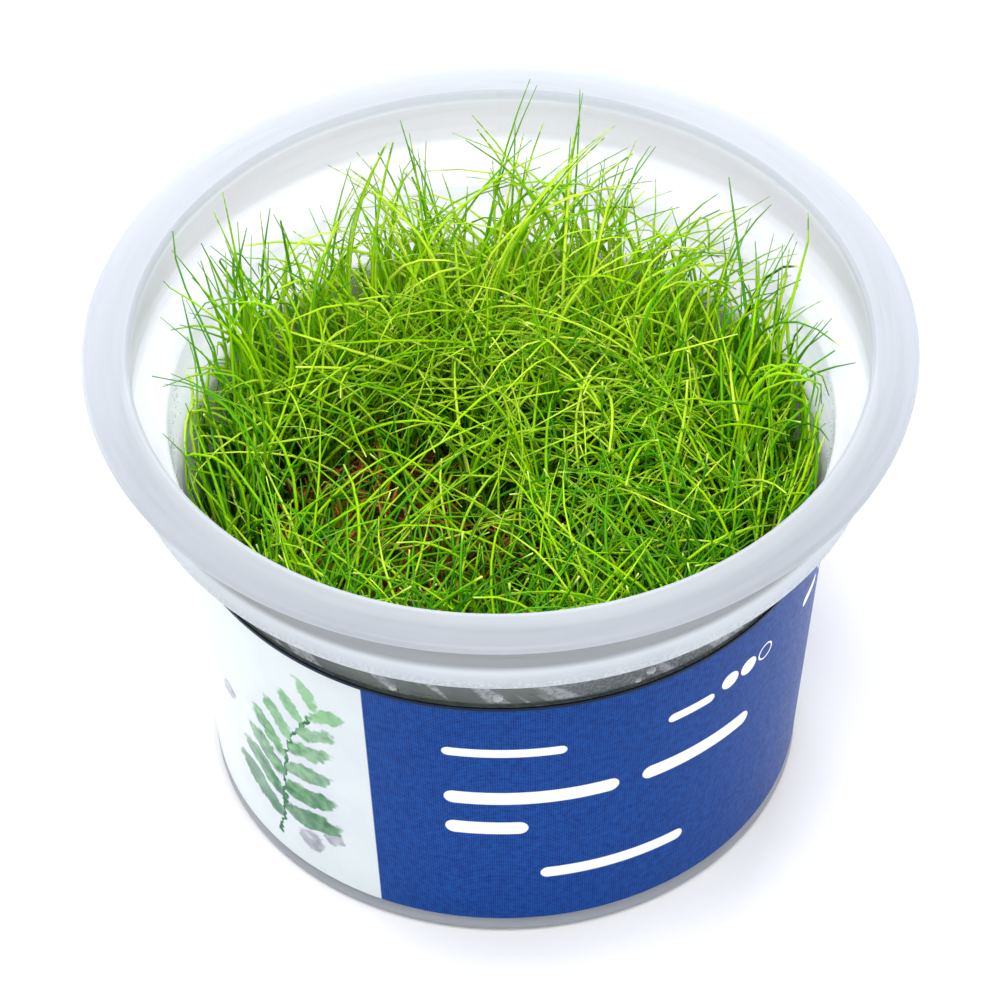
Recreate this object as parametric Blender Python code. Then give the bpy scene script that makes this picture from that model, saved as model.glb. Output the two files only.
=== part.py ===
"""Dwarf hairgrass growing in the translucent plastic cup that it is raised in.

The cup is one moulded shell: a wide rim, a short neck, a ledge and a tapered body
on a foot ring. A paper label wraps the body. A mat of roots fills the lower half of
the cup, and tufts of grass stand on the mat, low at the front and tall at the back.

Units are metres and +Z is up. The origin is the middle of the cup's foot, on the
surface that the cup stands on. The front of the cup faces -Y.
"""
import math
import random

import bmesh
import bpy
import numpy as np
from mathutils import Vector

MM = 0.001
FULL_TURN = 2.0 * math.pi

# Clearance between pieces that touch on the real object
GAP = 0.3 * MM

# Cup: heights above the surface it stands on, and radii from its axis
RIM_RADIUS = 50.0 * MM
RIM_HEIGHT = 65.1 * MM
RIM_DROP = 0.35 * MM
RIM_THICKNESS = 1.2 * MM
SEAL_BAND_INNER = 44.8 * MM
SEAL_BAND_OUTER = 46.6 * MM
NECK_INNER_RADIUS = 44.3 * MM
NECK_OUTER_RADIUS = 45.4 * MM
LEDGE_HEIGHT = 53.8 * MM
LEDGE_THICKNESS = 0.9 * MM
BODY_WALL = 0.7 * MM
BODY_FOOT_RADIUS = 35.6 * MM
BODY_TAPER = 0.097
LABEL_RECESS = 0.5 * MM
FOOT_RADIUS = 35.9 * MM
FOOT_CORNER = 1.3 * MM
FOOT_RING_WIDTH = 1.8 * MM
FOOT_RECESS = 0.9 * MM
FLOOR_HEIGHT = 1.8 * MM
CUP_SEGMENTS = 48

# Label: a wrap of paper with its seam at the back of the cup
LABEL_BOTTOM = 2.7 * MM
LABEL_TOP = 44.0 * MM
LABEL_THICKNESS = 0.25 * MM
LABEL_SEAM = 0.8 * MM
LABEL_SEGMENTS = 48

# Root mat
MAT_TOP = 26.6 * MM
MAT_LUMP = 0.9 * MM
MAT_EDGE_DROP = 0.8 * MM
MAT_SEGMENTS = 24
MAT_RINGS = 5

# Grass tufts: a crown of leaf sheaths drawn out into blades
TUFT_COUNT = 36
BLADES_PER_TUFT = 7
CROWN_RADIUS = 4.3 * MM
CROWN_NARROWING = 0.82
CROWN_HEIGHT = 7.0 * MM
CROWN_DOME = 2.4 * MM
CROWN_EDGE_ROOM = 0.4 * MM
SHEATH_RADIUS = 1.2 * MM
SHEATH_LENGTH = 6.0 * MM
BLADE_RADIUS = 0.75 * MM
BLADE_RING_PLACES = (0.18, 0.45, 0.75)
BLADE_RING_SIZES = (SHEATH_RADIUS, BLADE_RADIUS, 0.7 * BLADE_RADIUS)
BLADE_CLEARANCE = 0.35 * MM
BLADE_LEAN = (0.8 * MM, 6.5 * MM)
PLACING_TRIES = 60
GRASS_SEED = 20

# Turf height: its level in the middle, and how much higher it stands at the wall
# and at the back
TURF_LEVEL = 43.5 * MM
TURF_WALL_RISE = 6.0 * MM
TURF_BACK_RISE = 7.0 * MM
TURF_VARIATION = 3.0 * MM

# Tips of the longest blades, in millimetres, from the left of the cup round the
# back to the right
LONG_BLADE_TIPS = (
    (-38.0, -7.0, 57.0),
    (-38.5, 5.0, 60.0),
    (-38.6, 15.0, 66.0),
    (-32.8, 24.0, 66.5),
    (-27.6, 25.5, 62.6),
    (-20.0, 29.5, 65.7),
    (-14.0, 32.5, 66.2),
    (-11.5, 34.5, 68.4),
    (-3.4, 35.5, 68.6),
    (3.2, 35.0, 75.0),
    (9.4, 34.0, 72.0),
    (12.8, 33.5, 68.0),
    (16.1, 31.5, 66.8),
    (26.2, 26.5, 61.4),
    (32.6, 20.5, 63.8),
    (35.0, 18.0, 65.4),
    (37.6, 8.5, 60.0),
    (38.6, -3.0, 57.5),
)


def clear_scene():
    """Remove every object, so that the model starts from nothing."""
    for obj in list(bpy.data.objects):
        bpy.data.objects.remove(obj, do_unlink=True)


def plain_material(name, colour, roughness, transmission=0.0):
    """Make a Principled material from a colour and a roughness."""
    material = bpy.data.materials.new(name)
    material.use_nodes = True
    shader = material.node_tree.nodes["Principled BSDF"]
    shader.inputs["Base Color"].default_value = (*colour, 1.0)
    shader.inputs["Roughness"].default_value = roughness
    shader.inputs["Metallic"].default_value = 0.0
    shader.inputs["Transmission Weight"].default_value = transmission
    return material


def add_object(name, mesh, material):
    """Put a mesh in the scene as a named object with one material."""
    mesh.materials.append(material)
    obj = bpy.data.objects.new(name, mesh)
    bpy.context.scene.collection.objects.link(obj)
    return obj


def mesh_from_bmesh(name, bm):
    """Turn a bmesh into a mesh, and free the bmesh."""
    mesh = bpy.data.meshes.new(name)
    bm.to_mesh(mesh)
    bm.free()
    return mesh


def arc(centre_r, centre_z, radius, start_deg, end_deg, steps):
    """Return (r, z) points along an arc; 0 degrees points outwards and 90 up."""
    points = []
    for i in range(steps + 1):
        angle = math.radians(start_deg + (end_deg - start_deg) * i / steps)
        points.append((centre_r + radius * math.cos(angle), centre_z + radius * math.sin(angle)))
    return points


def body_radius(z):
    """Return the outer radius of the tapered body above the label panel."""
    return BODY_FOOT_RADIUS + BODY_TAPER * z


def panel_radius(z):
    """Return the outer radius of the panel that the label lies in."""
    return body_radius(z) - LABEL_RECESS


def inner_radius(z):
    """Return the inner radius of the cup beside the label panel."""
    return panel_radius(z) - BODY_WALL


def cup_inside():
    """Return the cup's inner profile, from the middle of the floor up to the rim."""
    corner = 1.2 * MM
    panel_end = LABEL_TOP + GAP
    step_end = panel_end + 0.7 * MM
    ledge_corner = 0.5 * MM
    points = [(0.0, FLOOR_HEIGHT)]
    points += arc(inner_radius(FLOOR_HEIGHT) - corner, FLOOR_HEIGHT + corner, corner, -90, 0, 2)
    points.append((inner_radius(panel_end), panel_end))
    points.append((body_radius(step_end) - BODY_WALL, step_end))
    ledge_edge = body_radius(LEDGE_HEIGHT) - BODY_WALL
    points += arc(ledge_edge + ledge_corner, LEDGE_HEIGHT - ledge_corner, ledge_corner, 180, 90, 1)
    points += arc(NECK_INNER_RADIUS - ledge_corner, LEDGE_HEIGHT + ledge_corner, ledge_corner, -90, 0, 1)
    return points


def cup_rim():
    """Return the rim's profile, from its inner crest over the lip to the neck."""
    crest = SEAL_BAND_INNER - NECK_INNER_RADIUS
    lip = RIM_THICKNESS / 2.0
    fillet = 0.6 * MM
    underside = RIM_HEIGHT - RIM_DROP - RIM_THICKNESS
    points = arc(SEAL_BAND_INNER, RIM_HEIGHT - crest, crest, 180, 90, 2)
    points.append((SEAL_BAND_OUTER, RIM_HEIGHT))
    points += arc(RIM_RADIUS - lip, RIM_HEIGHT - RIM_DROP - lip, lip, 90, -90, 4)
    points += arc(NECK_OUTER_RADIUS + fillet, underside - fillet, fillet, 90, 180, 1)
    return points


def cup_outside():
    """Return the outer profile from the neck down to the middle of the base."""
    corner = 0.7 * MM
    fillet = 0.5 * MM
    ledge_underside = LEDGE_HEIGHT - LEDGE_THICKNESS
    panel_end = LABEL_TOP + GAP
    step_end = panel_end + 0.7 * MM
    foot_top = LABEL_BOTTOM - GAP
    ring_outer = FOOT_RADIUS - FOOT_CORNER
    ring_inner = ring_outer - FOOT_RING_WIDTH
    points = arc(NECK_OUTER_RADIUS - corner, ledge_underside + corner, corner, 0, -90, 2)
    points.append((body_radius(ledge_underside) + fillet, ledge_underside))
    points.append((body_radius(ledge_underside - fillet), ledge_underside - fillet))
    points.append((body_radius(step_end), step_end))
    points.append((panel_radius(panel_end), panel_end))
    points.append((panel_radius(foot_top), foot_top))
    points += arc(FOOT_RADIUS - FOOT_CORNER, FOOT_CORNER, FOOT_CORNER, 0, -90, 2)
    points.append((ring_inner, 0.0))
    points.append((ring_inner - FOOT_RECESS, FOOT_RECESS))
    points.append((0.0, FOOT_RECESS))
    return points


def make_cup(material):
    """Turn the cup's profile round its axis with a Screw modifier."""
    profile = cup_inside() + cup_rim() + cup_outside()
    mesh = bpy.data.meshes.new("cup")
    vertices = [(r, 0.0, z) for r, z in profile]
    edges = [(i, i + 1) for i in range(len(profile) - 1)]
    mesh.from_pydata(vertices, edges, [])
    cup = add_object("cup", mesh, material)
    turn = cup.modifiers.new("turn", "SCREW")
    turn.axis = "Z"
    turn.angle = FULL_TURN
    turn.steps = CUP_SEGMENTS
    turn.render_steps = CUP_SEGMENTS
    turn.use_merge_vertices = True
    turn.merge_threshold = 0.00001
    turn.use_smooth_shade = True
    return cup


def make_label(material):
    """Wrap a thin band round the label panel, open along a seam at the back."""
    half_seam = 0.5 * LABEL_SEAM / panel_radius(LABEL_BOTTOM)
    start = 0.5 * math.pi + half_seam
    sweep = FULL_TURN - 2.0 * half_seam
    section = []
    for z, offset in (
        (LABEL_BOTTOM, GAP),
        (LABEL_BOTTOM, GAP + LABEL_THICKNESS),
        (LABEL_TOP, GAP + LABEL_THICKNESS),
        (LABEL_TOP, GAP),
    ):
        section.append((panel_radius(z) + offset, z))
    bm = bmesh.new()
    loops = []
    for i in range(LABEL_SEGMENTS + 1):
        angle = start + sweep * i / LABEL_SEGMENTS
        loop = [bm.verts.new((r * math.cos(angle), r * math.sin(angle), z)) for r, z in section]
        loops.append(loop)
    join_loops(bm, loops)
    bm.faces.new(loops[0])
    bm.faces.new(loops[-1])
    bmesh.ops.recalc_face_normals(bm, faces=bm.faces)
    mesh = mesh_from_bmesh("label", bm)
    mesh.shade_smooth()
    mesh.set_sharp_from_angle(angle=math.radians(30))
    return add_object("label", mesh, material)


def join_loops(bm, loops):
    """Bridge each closed loop of vertices to the next with quads."""
    for lower, upper in zip(loops, loops[1:]):
        count = len(lower)
        for i in range(count):
            j = (i + 1) % count
            bm.faces.new((lower[i], lower[j], upper[j], upper[i]))


def mat_height(x, y):
    """Return the height of the root mat's top, a gently lumpy surface."""
    lumps = math.sin(x / (6.1 * MM) + 0.7) * math.cos(y / (7.3 * MM) - 0.4)
    lumps += 0.6 * math.sin((x + y) / (4.9 * MM) + 2.1)
    edge = math.hypot(x, y) / inner_radius(MAT_TOP)
    return MAT_TOP + 0.5 * MAT_LUMP * lumps - MAT_EDGE_DROP * edge ** 6


def make_root_mat(material):
    """Fill the lower half of the cup with the mat, up to its lumpy top."""
    bottom = FLOOR_HEIGHT + GAP
    side_levels = (bottom + 1.2 * MM, 0.5 * (bottom + MAT_TOP))
    edge_radius = inner_radius(MAT_TOP) - 1.6 * GAP

    def ring(bm, radius, height):
        verts = []
        for i in range(MAT_SEGMENTS):
            angle = FULL_TURN * i / MAT_SEGMENTS
            x = radius * math.cos(angle)
            y = radius * math.sin(angle)
            verts.append(bm.verts.new((x, y, height(x, y))))
        return verts

    bm = bmesh.new()
    loops = [ring(bm, inner_radius(bottom) - 1.6 * MM, lambda x, y: bottom)]
    for level in side_levels:
        loops.append(ring(bm, inner_radius(level) - 1.6 * GAP, lambda x, y, z=level: z))
    for i in range(MAT_RINGS, 0, -1):
        loops.append(ring(bm, edge_radius * i / MAT_RINGS, mat_height))
    join_loops(bm, loops)
    bm.faces.new(loops[0])
    centre = bm.verts.new((0.0, 0.0, mat_height(0.0, 0.0)))
    last = loops[-1]
    for i in range(MAT_SEGMENTS):
        bm.faces.new((last[i], last[(i + 1) % MAT_SEGMENTS], centre))
    bmesh.ops.recalc_face_normals(bm, faces=bm.faces)
    mesh = mesh_from_bmesh("root_mat", bm)
    mesh.shade_smooth()
    mesh.set_sharp_from_angle(angle=math.radians(40))
    return add_object("root_mat", mesh, material)


def smooth_rise(value):
    """Ease from 0 to 1 as the value goes from 0 to 1."""
    t = min(max(value, 0.0), 1.0)
    return t * t * (3.0 - 2.0 * t)


def turf_height(x, y):
    """Return the height that ordinary blades reach over a point of the mat."""
    edge = inner_radius(MAT_TOP)
    wall = smooth_rise(math.hypot(x, y) / edge)
    back = smooth_rise(y / edge)
    return TURF_LEVEL + TURF_WALL_RISE * wall + TURF_BACK_RISE * back


def tuft_places():
    """Return the tufts' centres, spread evenly over the mat in a sunflower spiral."""
    golden_angle = math.pi * (3.0 - math.sqrt(5.0))
    spread = inner_radius(MAT_TOP) - 1.6 * GAP - CROWN_EDGE_ROOM - CROWN_RADIUS
    places = []
    for i in range(TUFT_COUNT):
        radius = spread * math.sqrt((i + 0.5) / TUFT_COUNT)
        angle = i * golden_angle
        places.append((radius * math.cos(angle), radius * math.sin(angle)))
    return places


def bend(root, tip, rise):
    """Return a function for points along a blade that rises first and then leans."""
    knee = Vector((root.x + 0.15 * (tip.x - root.x), root.y + 0.15 * (tip.y - root.y), 0.0))
    knee.z = root.z + rise * (tip.z - root.z)

    def point(t):
        return (1 - t) ** 2 * root + 2 * t * (1 - t) * knee + t * t * tip

    return point


def cup_room(z):
    """Return the radius within which a blade stays clear of the cup's inner wall."""
    if z > LEDGE_HEIGHT + BLADE_RADIUS:
        wall = NECK_INNER_RADIUS
    else:
        wall = inner_radius(min(z, LABEL_TOP))
    return wall - GAP - BLADE_RADIUS


class Field:
    """The blades placed so far, kept as sample points, to keep new ones clear."""

    def __init__(self):
        self.points = np.zeros((0, 3))
        self.radii = np.zeros(0)
        self.owners = np.zeros(0, dtype=int)

    @staticmethod
    def sample(path):
        """Return points along a blade's straight facets, and its radius at each."""
        stations = (0.0, *BLADE_RING_PLACES, 1.0)
        sizes = (1.4 * SHEATH_RADIUS, *BLADE_RING_SIZES, 0.1 * MM)
        points = []
        radii = []
        for k in range(len(stations) - 1):
            start = path(stations[k])
            end = path(stations[k + 1])
            steps = max(2, int((end - start).length / (0.6 * MM)))
            for i in range(steps + 1):
                points.append(start.lerp(end, i / steps))
                radii.append(sizes[k] + (sizes[k + 1] - sizes[k]) * i / steps)
        return np.array(points), np.array(radii)

    def room_for(self, path, owner):
        """Return True where a blade stays clear of the cup and of the other blades."""
        points, radii = self.sample(path)
        reach = np.hypot(points[:, 0], points[:, 1])
        room = np.array([cup_room(z) for z in points[:, 2]])
        if np.any(reach > room):
            return False
        own = self.owners == owner
        free = points[:, 2] > points[0, 2] + SHEATH_LENGTH
        return self.clear(points, radii, ~own) and self.clear(points[free], radii[free], own)

    def clear(self, points, radii, chosen):
        """Return True where no point comes too near to the chosen blades' points."""
        if not np.any(chosen):
            return True
        offsets = points[:, None, :] - self.points[chosen][None, :, :]
        distances = np.sqrt((offsets ** 2).sum(axis=2))
        needed = radii[:, None] + self.radii[chosen][None, :] + BLADE_CLEARANCE
        return bool(np.all(distances > needed))

    def add(self, path, owner):
        """Record a blade's sample points under its tuft."""
        points, radii = self.sample(path)
        self.points = np.vstack((self.points, points))
        self.radii = np.concatenate((self.radii, radii))
        self.owners = np.concatenate((self.owners, np.full(len(radii), owner)))


def long_tips_by_tuft(places):
    """Give each of the longest blades to the tuft that stands nearest to its foot."""
    shares = {}
    for x, y, z in LONG_BLADE_TIPS:
        foot = Vector((0.8 * x * MM, 0.8 * y * MM))
        distances = [(foot - Vector(place)).length for place in places]
        owner = distances.index(min(distances))
        shares.setdefault(owner, []).append(Vector((x * MM, y * MM, z * MM)))
    return shares


def blade_roots(place):
    """Return the middle of each facet on top of a tuft's crown, where a blade starts."""
    x, y = place
    base = mat_height(x, y) + GAP
    roots = []
    for k in range(BLADES_PER_TUFT):
        angle = FULL_TURN * (k + 0.5) / BLADES_PER_TUFT
        reach = CROWN_NARROWING * CROWN_RADIUS * 2.0 / 3.0 * math.cos(math.pi / BLADES_PER_TUFT)
        height = base + CROWN_HEIGHT + CROWN_DOME / 3.0
        roots.append(Vector((x + reach * math.cos(angle), y + reach * math.sin(angle), height)))
    return roots


def plan_blades(places):
    """Choose a path for every blade, the longest first, each clear of other tufts."""
    rng = random.Random(GRASS_SEED)
    field = Field()
    paths = [[None] * BLADES_PER_TUFT for _ in places]
    roots = [blade_roots(place) for place in places]
    for owner, tips in long_tips_by_tuft(places).items():
        for tip in tips:
            free = [k for k in range(BLADES_PER_TUFT) if paths[owner][k] is None]
            free.sort(key=lambda k: (roots[owner][k] - tip).xy.length)
            options = [(k, bend(roots[owner][k], tip, 0.55)) for k in free]
            clear = [option for option in options if field.room_for(option[1], owner)]
            k, path = (clear or options)[0]
            paths[owner][k] = path
            field.add(path, owner)
    for owner, place in enumerate(places):
        for k in range(BLADES_PER_TUFT):
            if paths[owner][k] is None:
                path = find_blade(rng, field, owner, place, roots[owner][k])
                paths[owner][k] = path
                field.add(path, owner)
    return paths


def find_blade(rng, field, owner, place, root):
    """Try seeded leans and heights until one stands clear, and stand upright at worst."""
    outward = math.atan2(root.y - place[1], root.x - place[0])
    height = turf_height(root.x, root.y)
    for attempt in range(PLACING_TRIES):
        ease = 1.0 - attempt / PLACING_TRIES
        angle = outward + rng.uniform(-0.5, 0.5)
        lean = BLADE_LEAN[0] + rng.random() * ease * (BLADE_LEAN[1] - BLADE_LEAN[0])
        level = height + rng.uniform(-1.0, 1.0) * TURF_VARIATION - (1.0 - ease) * 6.0 * MM
        tip = Vector((root.x + lean * math.cos(angle), root.y + lean * math.sin(angle), level))
        path = bend(root, tip, 0.6)
        if field.room_for(path, owner):
            return path
    return bend(root, Vector((root.x, root.y, root.z + 6.0 * MM)), 0.6)


def draw_blade(bm, facet, path):
    """Draw one facet of a crown out along a path into a tapered blade."""
    centre = facet.calc_center_median()
    offsets = [vert.co - centre for vert in facet.verts]
    for place, size in zip(BLADE_RING_PLACES, BLADE_RING_SIZES):
        facet = bmesh.ops.extrude_discrete_faces(bm, faces=[facet])["faces"][0]
        along = (path(place + 0.02) - path(place - 0.02)).normalized()
        for vert, offset in zip(facet.verts, offsets):
            across = offset - offset.dot(along) * along
            vert.co = path(place) + size * across.normalized()
    tip = bmesh.ops.poke(bm, faces=[facet])["verts"][0]
    tip.co = path(1.0)


def make_tuft(name, place, paths, material):
    """Build one tuft: a low crown whose top facets are drawn out into blades."""
    bm = bmesh.new()
    lower = []
    upper = []
    for k in range(BLADES_PER_TUFT):
        angle = FULL_TURN * k / BLADES_PER_TUFT
        out = Vector((CROWN_RADIUS * math.cos(angle), CROWN_RADIUS * math.sin(angle)))
        foot = Vector(place) + out
        shoulder = Vector(place) + CROWN_NARROWING * out
        lower.append(bm.verts.new((foot.x, foot.y, mat_height(foot.x, foot.y) + GAP)))
        upper.append(bm.verts.new((shoulder.x, shoulder.y, mat_height(*place) + GAP + CROWN_HEIGHT)))
    join_loops(bm, [lower, upper])
    bm.faces.new(lower)
    top = mat_height(*place) + GAP + CROWN_HEIGHT + CROWN_DOME
    apex = bm.verts.new((place[0], place[1], top))
    facets = []
    for k in range(BLADES_PER_TUFT):
        facets.append(bm.faces.new((upper[k], upper[(k + 1) % BLADES_PER_TUFT], apex)))
    bmesh.ops.recalc_face_normals(bm, faces=bm.faces)
    for facet, path in zip(facets, paths):
        draw_blade(bm, facet, path)
    mesh = mesh_from_bmesh(name, bm)
    mesh.shade_smooth()
    mesh.set_sharp_from_angle(angle=math.radians(50))
    return add_object(name, mesh, material)


def main():
    """Build the cup, its label, the root mat and the tufts."""
    clear_scene()
    make_cup(plain_material("cup_plastic", (0.80, 0.84, 0.88), 0.3, transmission=0.6))
    make_label(plain_material("label_paper", (0.02, 0.07, 0.28), 0.45))
    make_root_mat(plain_material("root_fibre", (0.12, 0.05, 0.02), 0.8))
    places = tuft_places()
    paths = plan_blades(places)
    for number, place in enumerate(places, start=1):
        green = 0.42 + 0.04 * math.sin(2.4 * number)
        material = plain_material(f"grass_{number:02d}", (0.22, green, 0.02), 0.5)
        make_tuft(f"tuft_{number:02d}", place, paths[number - 1], material)


main()
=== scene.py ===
"""Looks of a dwarf hairgrass turf in the translucent cup that it is grown in.

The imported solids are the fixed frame. This script dresses them: a milky moulded cup
with beads of condensation, a printed paper label, a mat of matted roots, and some
thousands of fine blades of grass in place of the coarse tufts. Units are metres, +Z
is up, and the front of the cup faces -Y.
"""

import logging
import math
from dataclasses import dataclass
from enum import Enum
from functools import reduce

import bpy
import numpy as np
from mathutils import Matrix, Vector


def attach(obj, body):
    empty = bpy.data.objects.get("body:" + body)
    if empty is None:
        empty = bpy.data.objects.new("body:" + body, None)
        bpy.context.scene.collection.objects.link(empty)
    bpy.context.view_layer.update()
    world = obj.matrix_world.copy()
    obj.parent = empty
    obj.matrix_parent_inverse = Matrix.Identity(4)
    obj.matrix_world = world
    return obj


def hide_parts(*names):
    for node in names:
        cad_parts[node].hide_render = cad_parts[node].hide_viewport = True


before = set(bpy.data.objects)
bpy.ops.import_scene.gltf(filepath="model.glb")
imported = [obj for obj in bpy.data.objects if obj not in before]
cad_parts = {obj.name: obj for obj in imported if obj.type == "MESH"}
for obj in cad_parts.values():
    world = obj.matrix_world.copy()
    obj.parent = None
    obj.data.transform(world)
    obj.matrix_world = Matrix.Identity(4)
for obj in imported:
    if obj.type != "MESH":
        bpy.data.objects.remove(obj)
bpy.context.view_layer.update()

LOG = logging.getLogger("hairgrass")
MM = 0.001
FULL_TURN = 2.0 * math.pi
GAP = 0.3 * MM
BODY = "root"
BAKE_MAP = "OFBake"
WHITE = (1.0, 1.0, 1.0)

Socket = bpy.types.NodeSocket
Material = bpy.types.Material
Object = bpy.types.Object
Colour = tuple[float, float, float]
Span = tuple[float, float]
Profile = list[tuple[float, float]]


class Side(Enum):
    """Which face of a sheet a material goes on."""

    OUTER = 0
    INNER = 1


class BladeKind(Enum):
    """The ways in which ordinary blades of grass grow in the turf."""

    UNDERSTORY = "understory"
    ARCHING = "arching"
    UPRIGHT = "upright"


class Graph:
    """The node tree of one material, with short ways to add and join its nodes."""

    def __init__(self, name: str) -> None:
        """Start a material that has one Principled shader.

        Args:
            name: The material's name.
        """
        self.material = bpy.data.materials.new(name)
        self.material.use_nodes = True
        self.tree = self.material.node_tree
        self.shader = self.tree.nodes["Principled BSDF"]

    def node(self, kind: str, **settings: object) -> bpy.types.Node:
        """Add a node and set its own options.

        Args:
            kind: The node's type name.
            **settings: Options of the node, by attribute name.

        Returns:
            The new node.
        """
        made = self.tree.nodes.new(kind)
        for key, value in settings.items():
            setattr(made, key, value)
        return made

    def feed(self, socket: Socket, value: object) -> None:
        """Link a socket to another, or give it a plain value.

        Args:
            socket: The socket that is fed.
            value: Another socket, a number or a colour.
        """
        if isinstance(value, Socket):
            self.tree.links.new(value, socket)
        elif isinstance(value, tuple) and len(value) == 3 and socket.type == "RGBA":
            socket.default_value = (*value, 1.0)
        else:
            socket.default_value = value

    def set(self, **values: float) -> None:
        """Set constants on the shader's own sockets, by socket name with underscores."""
        for key, value in values.items():
            self.shader.inputs[key.replace("_", " ")].default_value = value

    def drive(self, socket: str, value: Socket) -> None:
        """Link one of the shader's sockets to a node's output."""
        self.tree.links.new(value, self.shader.inputs[socket])

    def maths(self, operation: str, first: object, second: object = 0.0) -> Socket:
        """Add a math node.

        Args:
            operation: The math operation's name.
            first: A socket or a number.
            second: A socket or a number.

        Returns:
            The node's value.
        """
        made = self.node("ShaderNodeMath", operation=operation)
        self.feed(made.inputs[0], first)
        self.feed(made.inputs[1], second)
        return made.outputs[0]

    def times(self, *values: object) -> Socket:
        """Return the product of sockets and numbers."""
        return reduce(lambda first, second: self.maths("MULTIPLY", first, second), values)

    def plus(self, *values: object) -> Socket:
        """Return the total of sockets and numbers."""
        return reduce(lambda first, second: self.maths("ADD", first, second), values)

    def minus(self, *values: object) -> Socket:
        """Return the first value less all the others."""
        return reduce(lambda first, second: self.maths("SUBTRACT", first, second), values)

    def most(self, *values: object) -> Socket:
        """Return the greatest of sockets and numbers."""
        return reduce(lambda first, second: self.maths("MAXIMUM", first, second), values)

    def length(self, first: Socket, second: Socket) -> Socket:
        """Return how long a vector with these two parts is."""
        return self.maths("SQRT", self.plus(self.times(first, first), self.times(second, second)))

    def size(self, value: Socket) -> Socket:
        """Return a value without its sign."""
        return self.maths("ABSOLUTE", value)

    def span(self, value: object, low: float, high: float, to_low: float = 0.0,
             to_high: float = 1.0) -> Socket:
        """Map a value smoothly from one range to another.

        Args:
            value: The socket to map.
            low: The value that gives to_low.
            high: The value that gives to_high.
            to_low: The result at low and below.
            to_high: The result at high and above.

        Returns:
            The mapped value.
        """
        made = self.node("ShaderNodeMapRange", interpolation_type="SMOOTHSTEP")
        for socket, number in zip(made.inputs[:5], (value, low, high, to_low, to_high)):
            self.feed(socket, number)
        return made.outputs["Result"]

    def window(self, value: Socket, rise: Span, fall: Span) -> Socket:
        """Return a mask that comes in over one range of a value and goes out over another."""
        return self.times(self.span(value, *rise), self.span(value, *fall))

    def edge(self, value: Socket, at: float, soft: float) -> Socket:
        """Return a mask of what is less than a limit, or of what is more, if its softness is negative."""
        return self.span(value, at + soft, at - soft)

    def mix(self, share: object, first: object, second: object, blend: str = "MIX") -> Socket:
        """Mix two colours.

        Args:
            share: How much of the second colour shows, from 0 to 1.
            first: A colour or a socket.
            second: A colour or a socket.
            blend: The blend mode.

        Returns:
            The mixed colour.
        """
        made = self.node("ShaderNodeMix", data_type="RGBA", blend_type=blend)
        self.feed(made.inputs["Factor"], share)
        self.feed(made.inputs[6], first)
        self.feed(made.inputs[7], second)
        return made.outputs[2]

    def between(self, share: Socket, first: object, second: object) -> Socket:
        """Mix two numbers.

        Args:
            share: How much of the second number shows, from 0 to 1.
            first: A number or a socket.
            second: A number or a socket.

        Returns:
            The mixed number.
        """
        made = self.node("ShaderNodeMix", data_type="FLOAT")
        self.feed(made.inputs[0], share)
        self.feed(made.inputs[2], first)
        self.feed(made.inputs[3], second)
        return made.outputs[0]

    def blend(self, share: object, first: Socket, second: Socket) -> Socket:
        """Mix two shaders.

        Args:
            share: How much of the second shader shows, from 0 to 1.
            first: A shader's output.
            second: A shader's output.

        Returns:
            The mixed shader.
        """
        made = self.node("ShaderNodeMixShader")
        for socket, value in zip(made.inputs, (share, first, second)):
            self.feed(socket, value)
        return made.outputs[0]

    def ramp(self, value: object, stops: tuple[tuple[float, Colour], ...]) -> Socket:
        """Colour a value by a list of stops.

        Args:
            value: The socket that is coloured.
            stops: Pairs of a place from 0 to 1 and its colour.

        Returns:
            The colour.
        """
        made = self.node("ShaderNodeValToRGB")
        self.feed(made.inputs["Fac"], value)
        elements = made.color_ramp.elements
        while len(elements) < len(stops):
            elements.new(0.5)
        for element, (place, colour) in zip(elements, stops):
            element.position = place
            element.color = (*colour, 1.0)
        return made.outputs["Color"]

    def grey(self, value: Socket) -> Socket:
        """Turn a number into a grey of that level.

        Args:
            value: The level.

        Returns:
            The colour.
        """
        made = self.node("ShaderNodeCombineColor")
        for socket in made.inputs:
            self.feed(socket, value)
        return made.outputs[0]

    def place(self) -> Socket:
        """Return the surface's place in the object's own frame, in metres."""
        return self.node("ShaderNodeTexCoord").outputs["Object"]

    def axes(self, vector: Socket) -> list[Socket]:
        """Return a vector's x, y and z.

        Args:
            vector: The vector.

        Returns:
            Its three parts.
        """
        made = self.node("ShaderNodeSeparateXYZ")
        self.feed(made.inputs[0], vector)
        return list(made.outputs)

    def vector(self, *parts: object) -> Socket:
        """Return a vector with these parts, and 0 for what isn't given.

        Args:
            *parts: Its x, y and z.

        Returns:
            The vector.
        """
        made = self.node("ShaderNodeCombineXYZ")
        for socket, part in zip(made.inputs, parts):
            self.feed(socket, part)
        return made.outputs[0]

    def attribute(self, name: str) -> Socket:
        """Return a number that the mesh holds at each point."""
        return self.node("ShaderNodeAttribute", attribute_name=name).outputs["Fac"]

    def noise(self, scale: float, detail: float = 2.0, stretch: Colour = WHITE,
              vector: Socket | None = None) -> Socket:
        """Add a noise texture over the object's own frame.

        Args:
            scale: Lumps per metre.
            detail: How many finer layers it has.
            stretch: How the frame is scaled along each axis first.
            vector: Another place to read the noise at.

        Returns:
            The noise, from 0 to 1.
        """
        mapping = self.node("ShaderNodeMapping")
        self.feed(mapping.inputs["Vector"], vector or self.place())
        mapping.inputs["Scale"].default_value = stretch
        made = self.node("ShaderNodeTexNoise")
        self.feed(made.inputs["Vector"], mapping.outputs[0])
        made.inputs["Scale"].default_value = scale
        made.inputs["Detail"].default_value = detail
        return made.outputs["Fac"]

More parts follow.
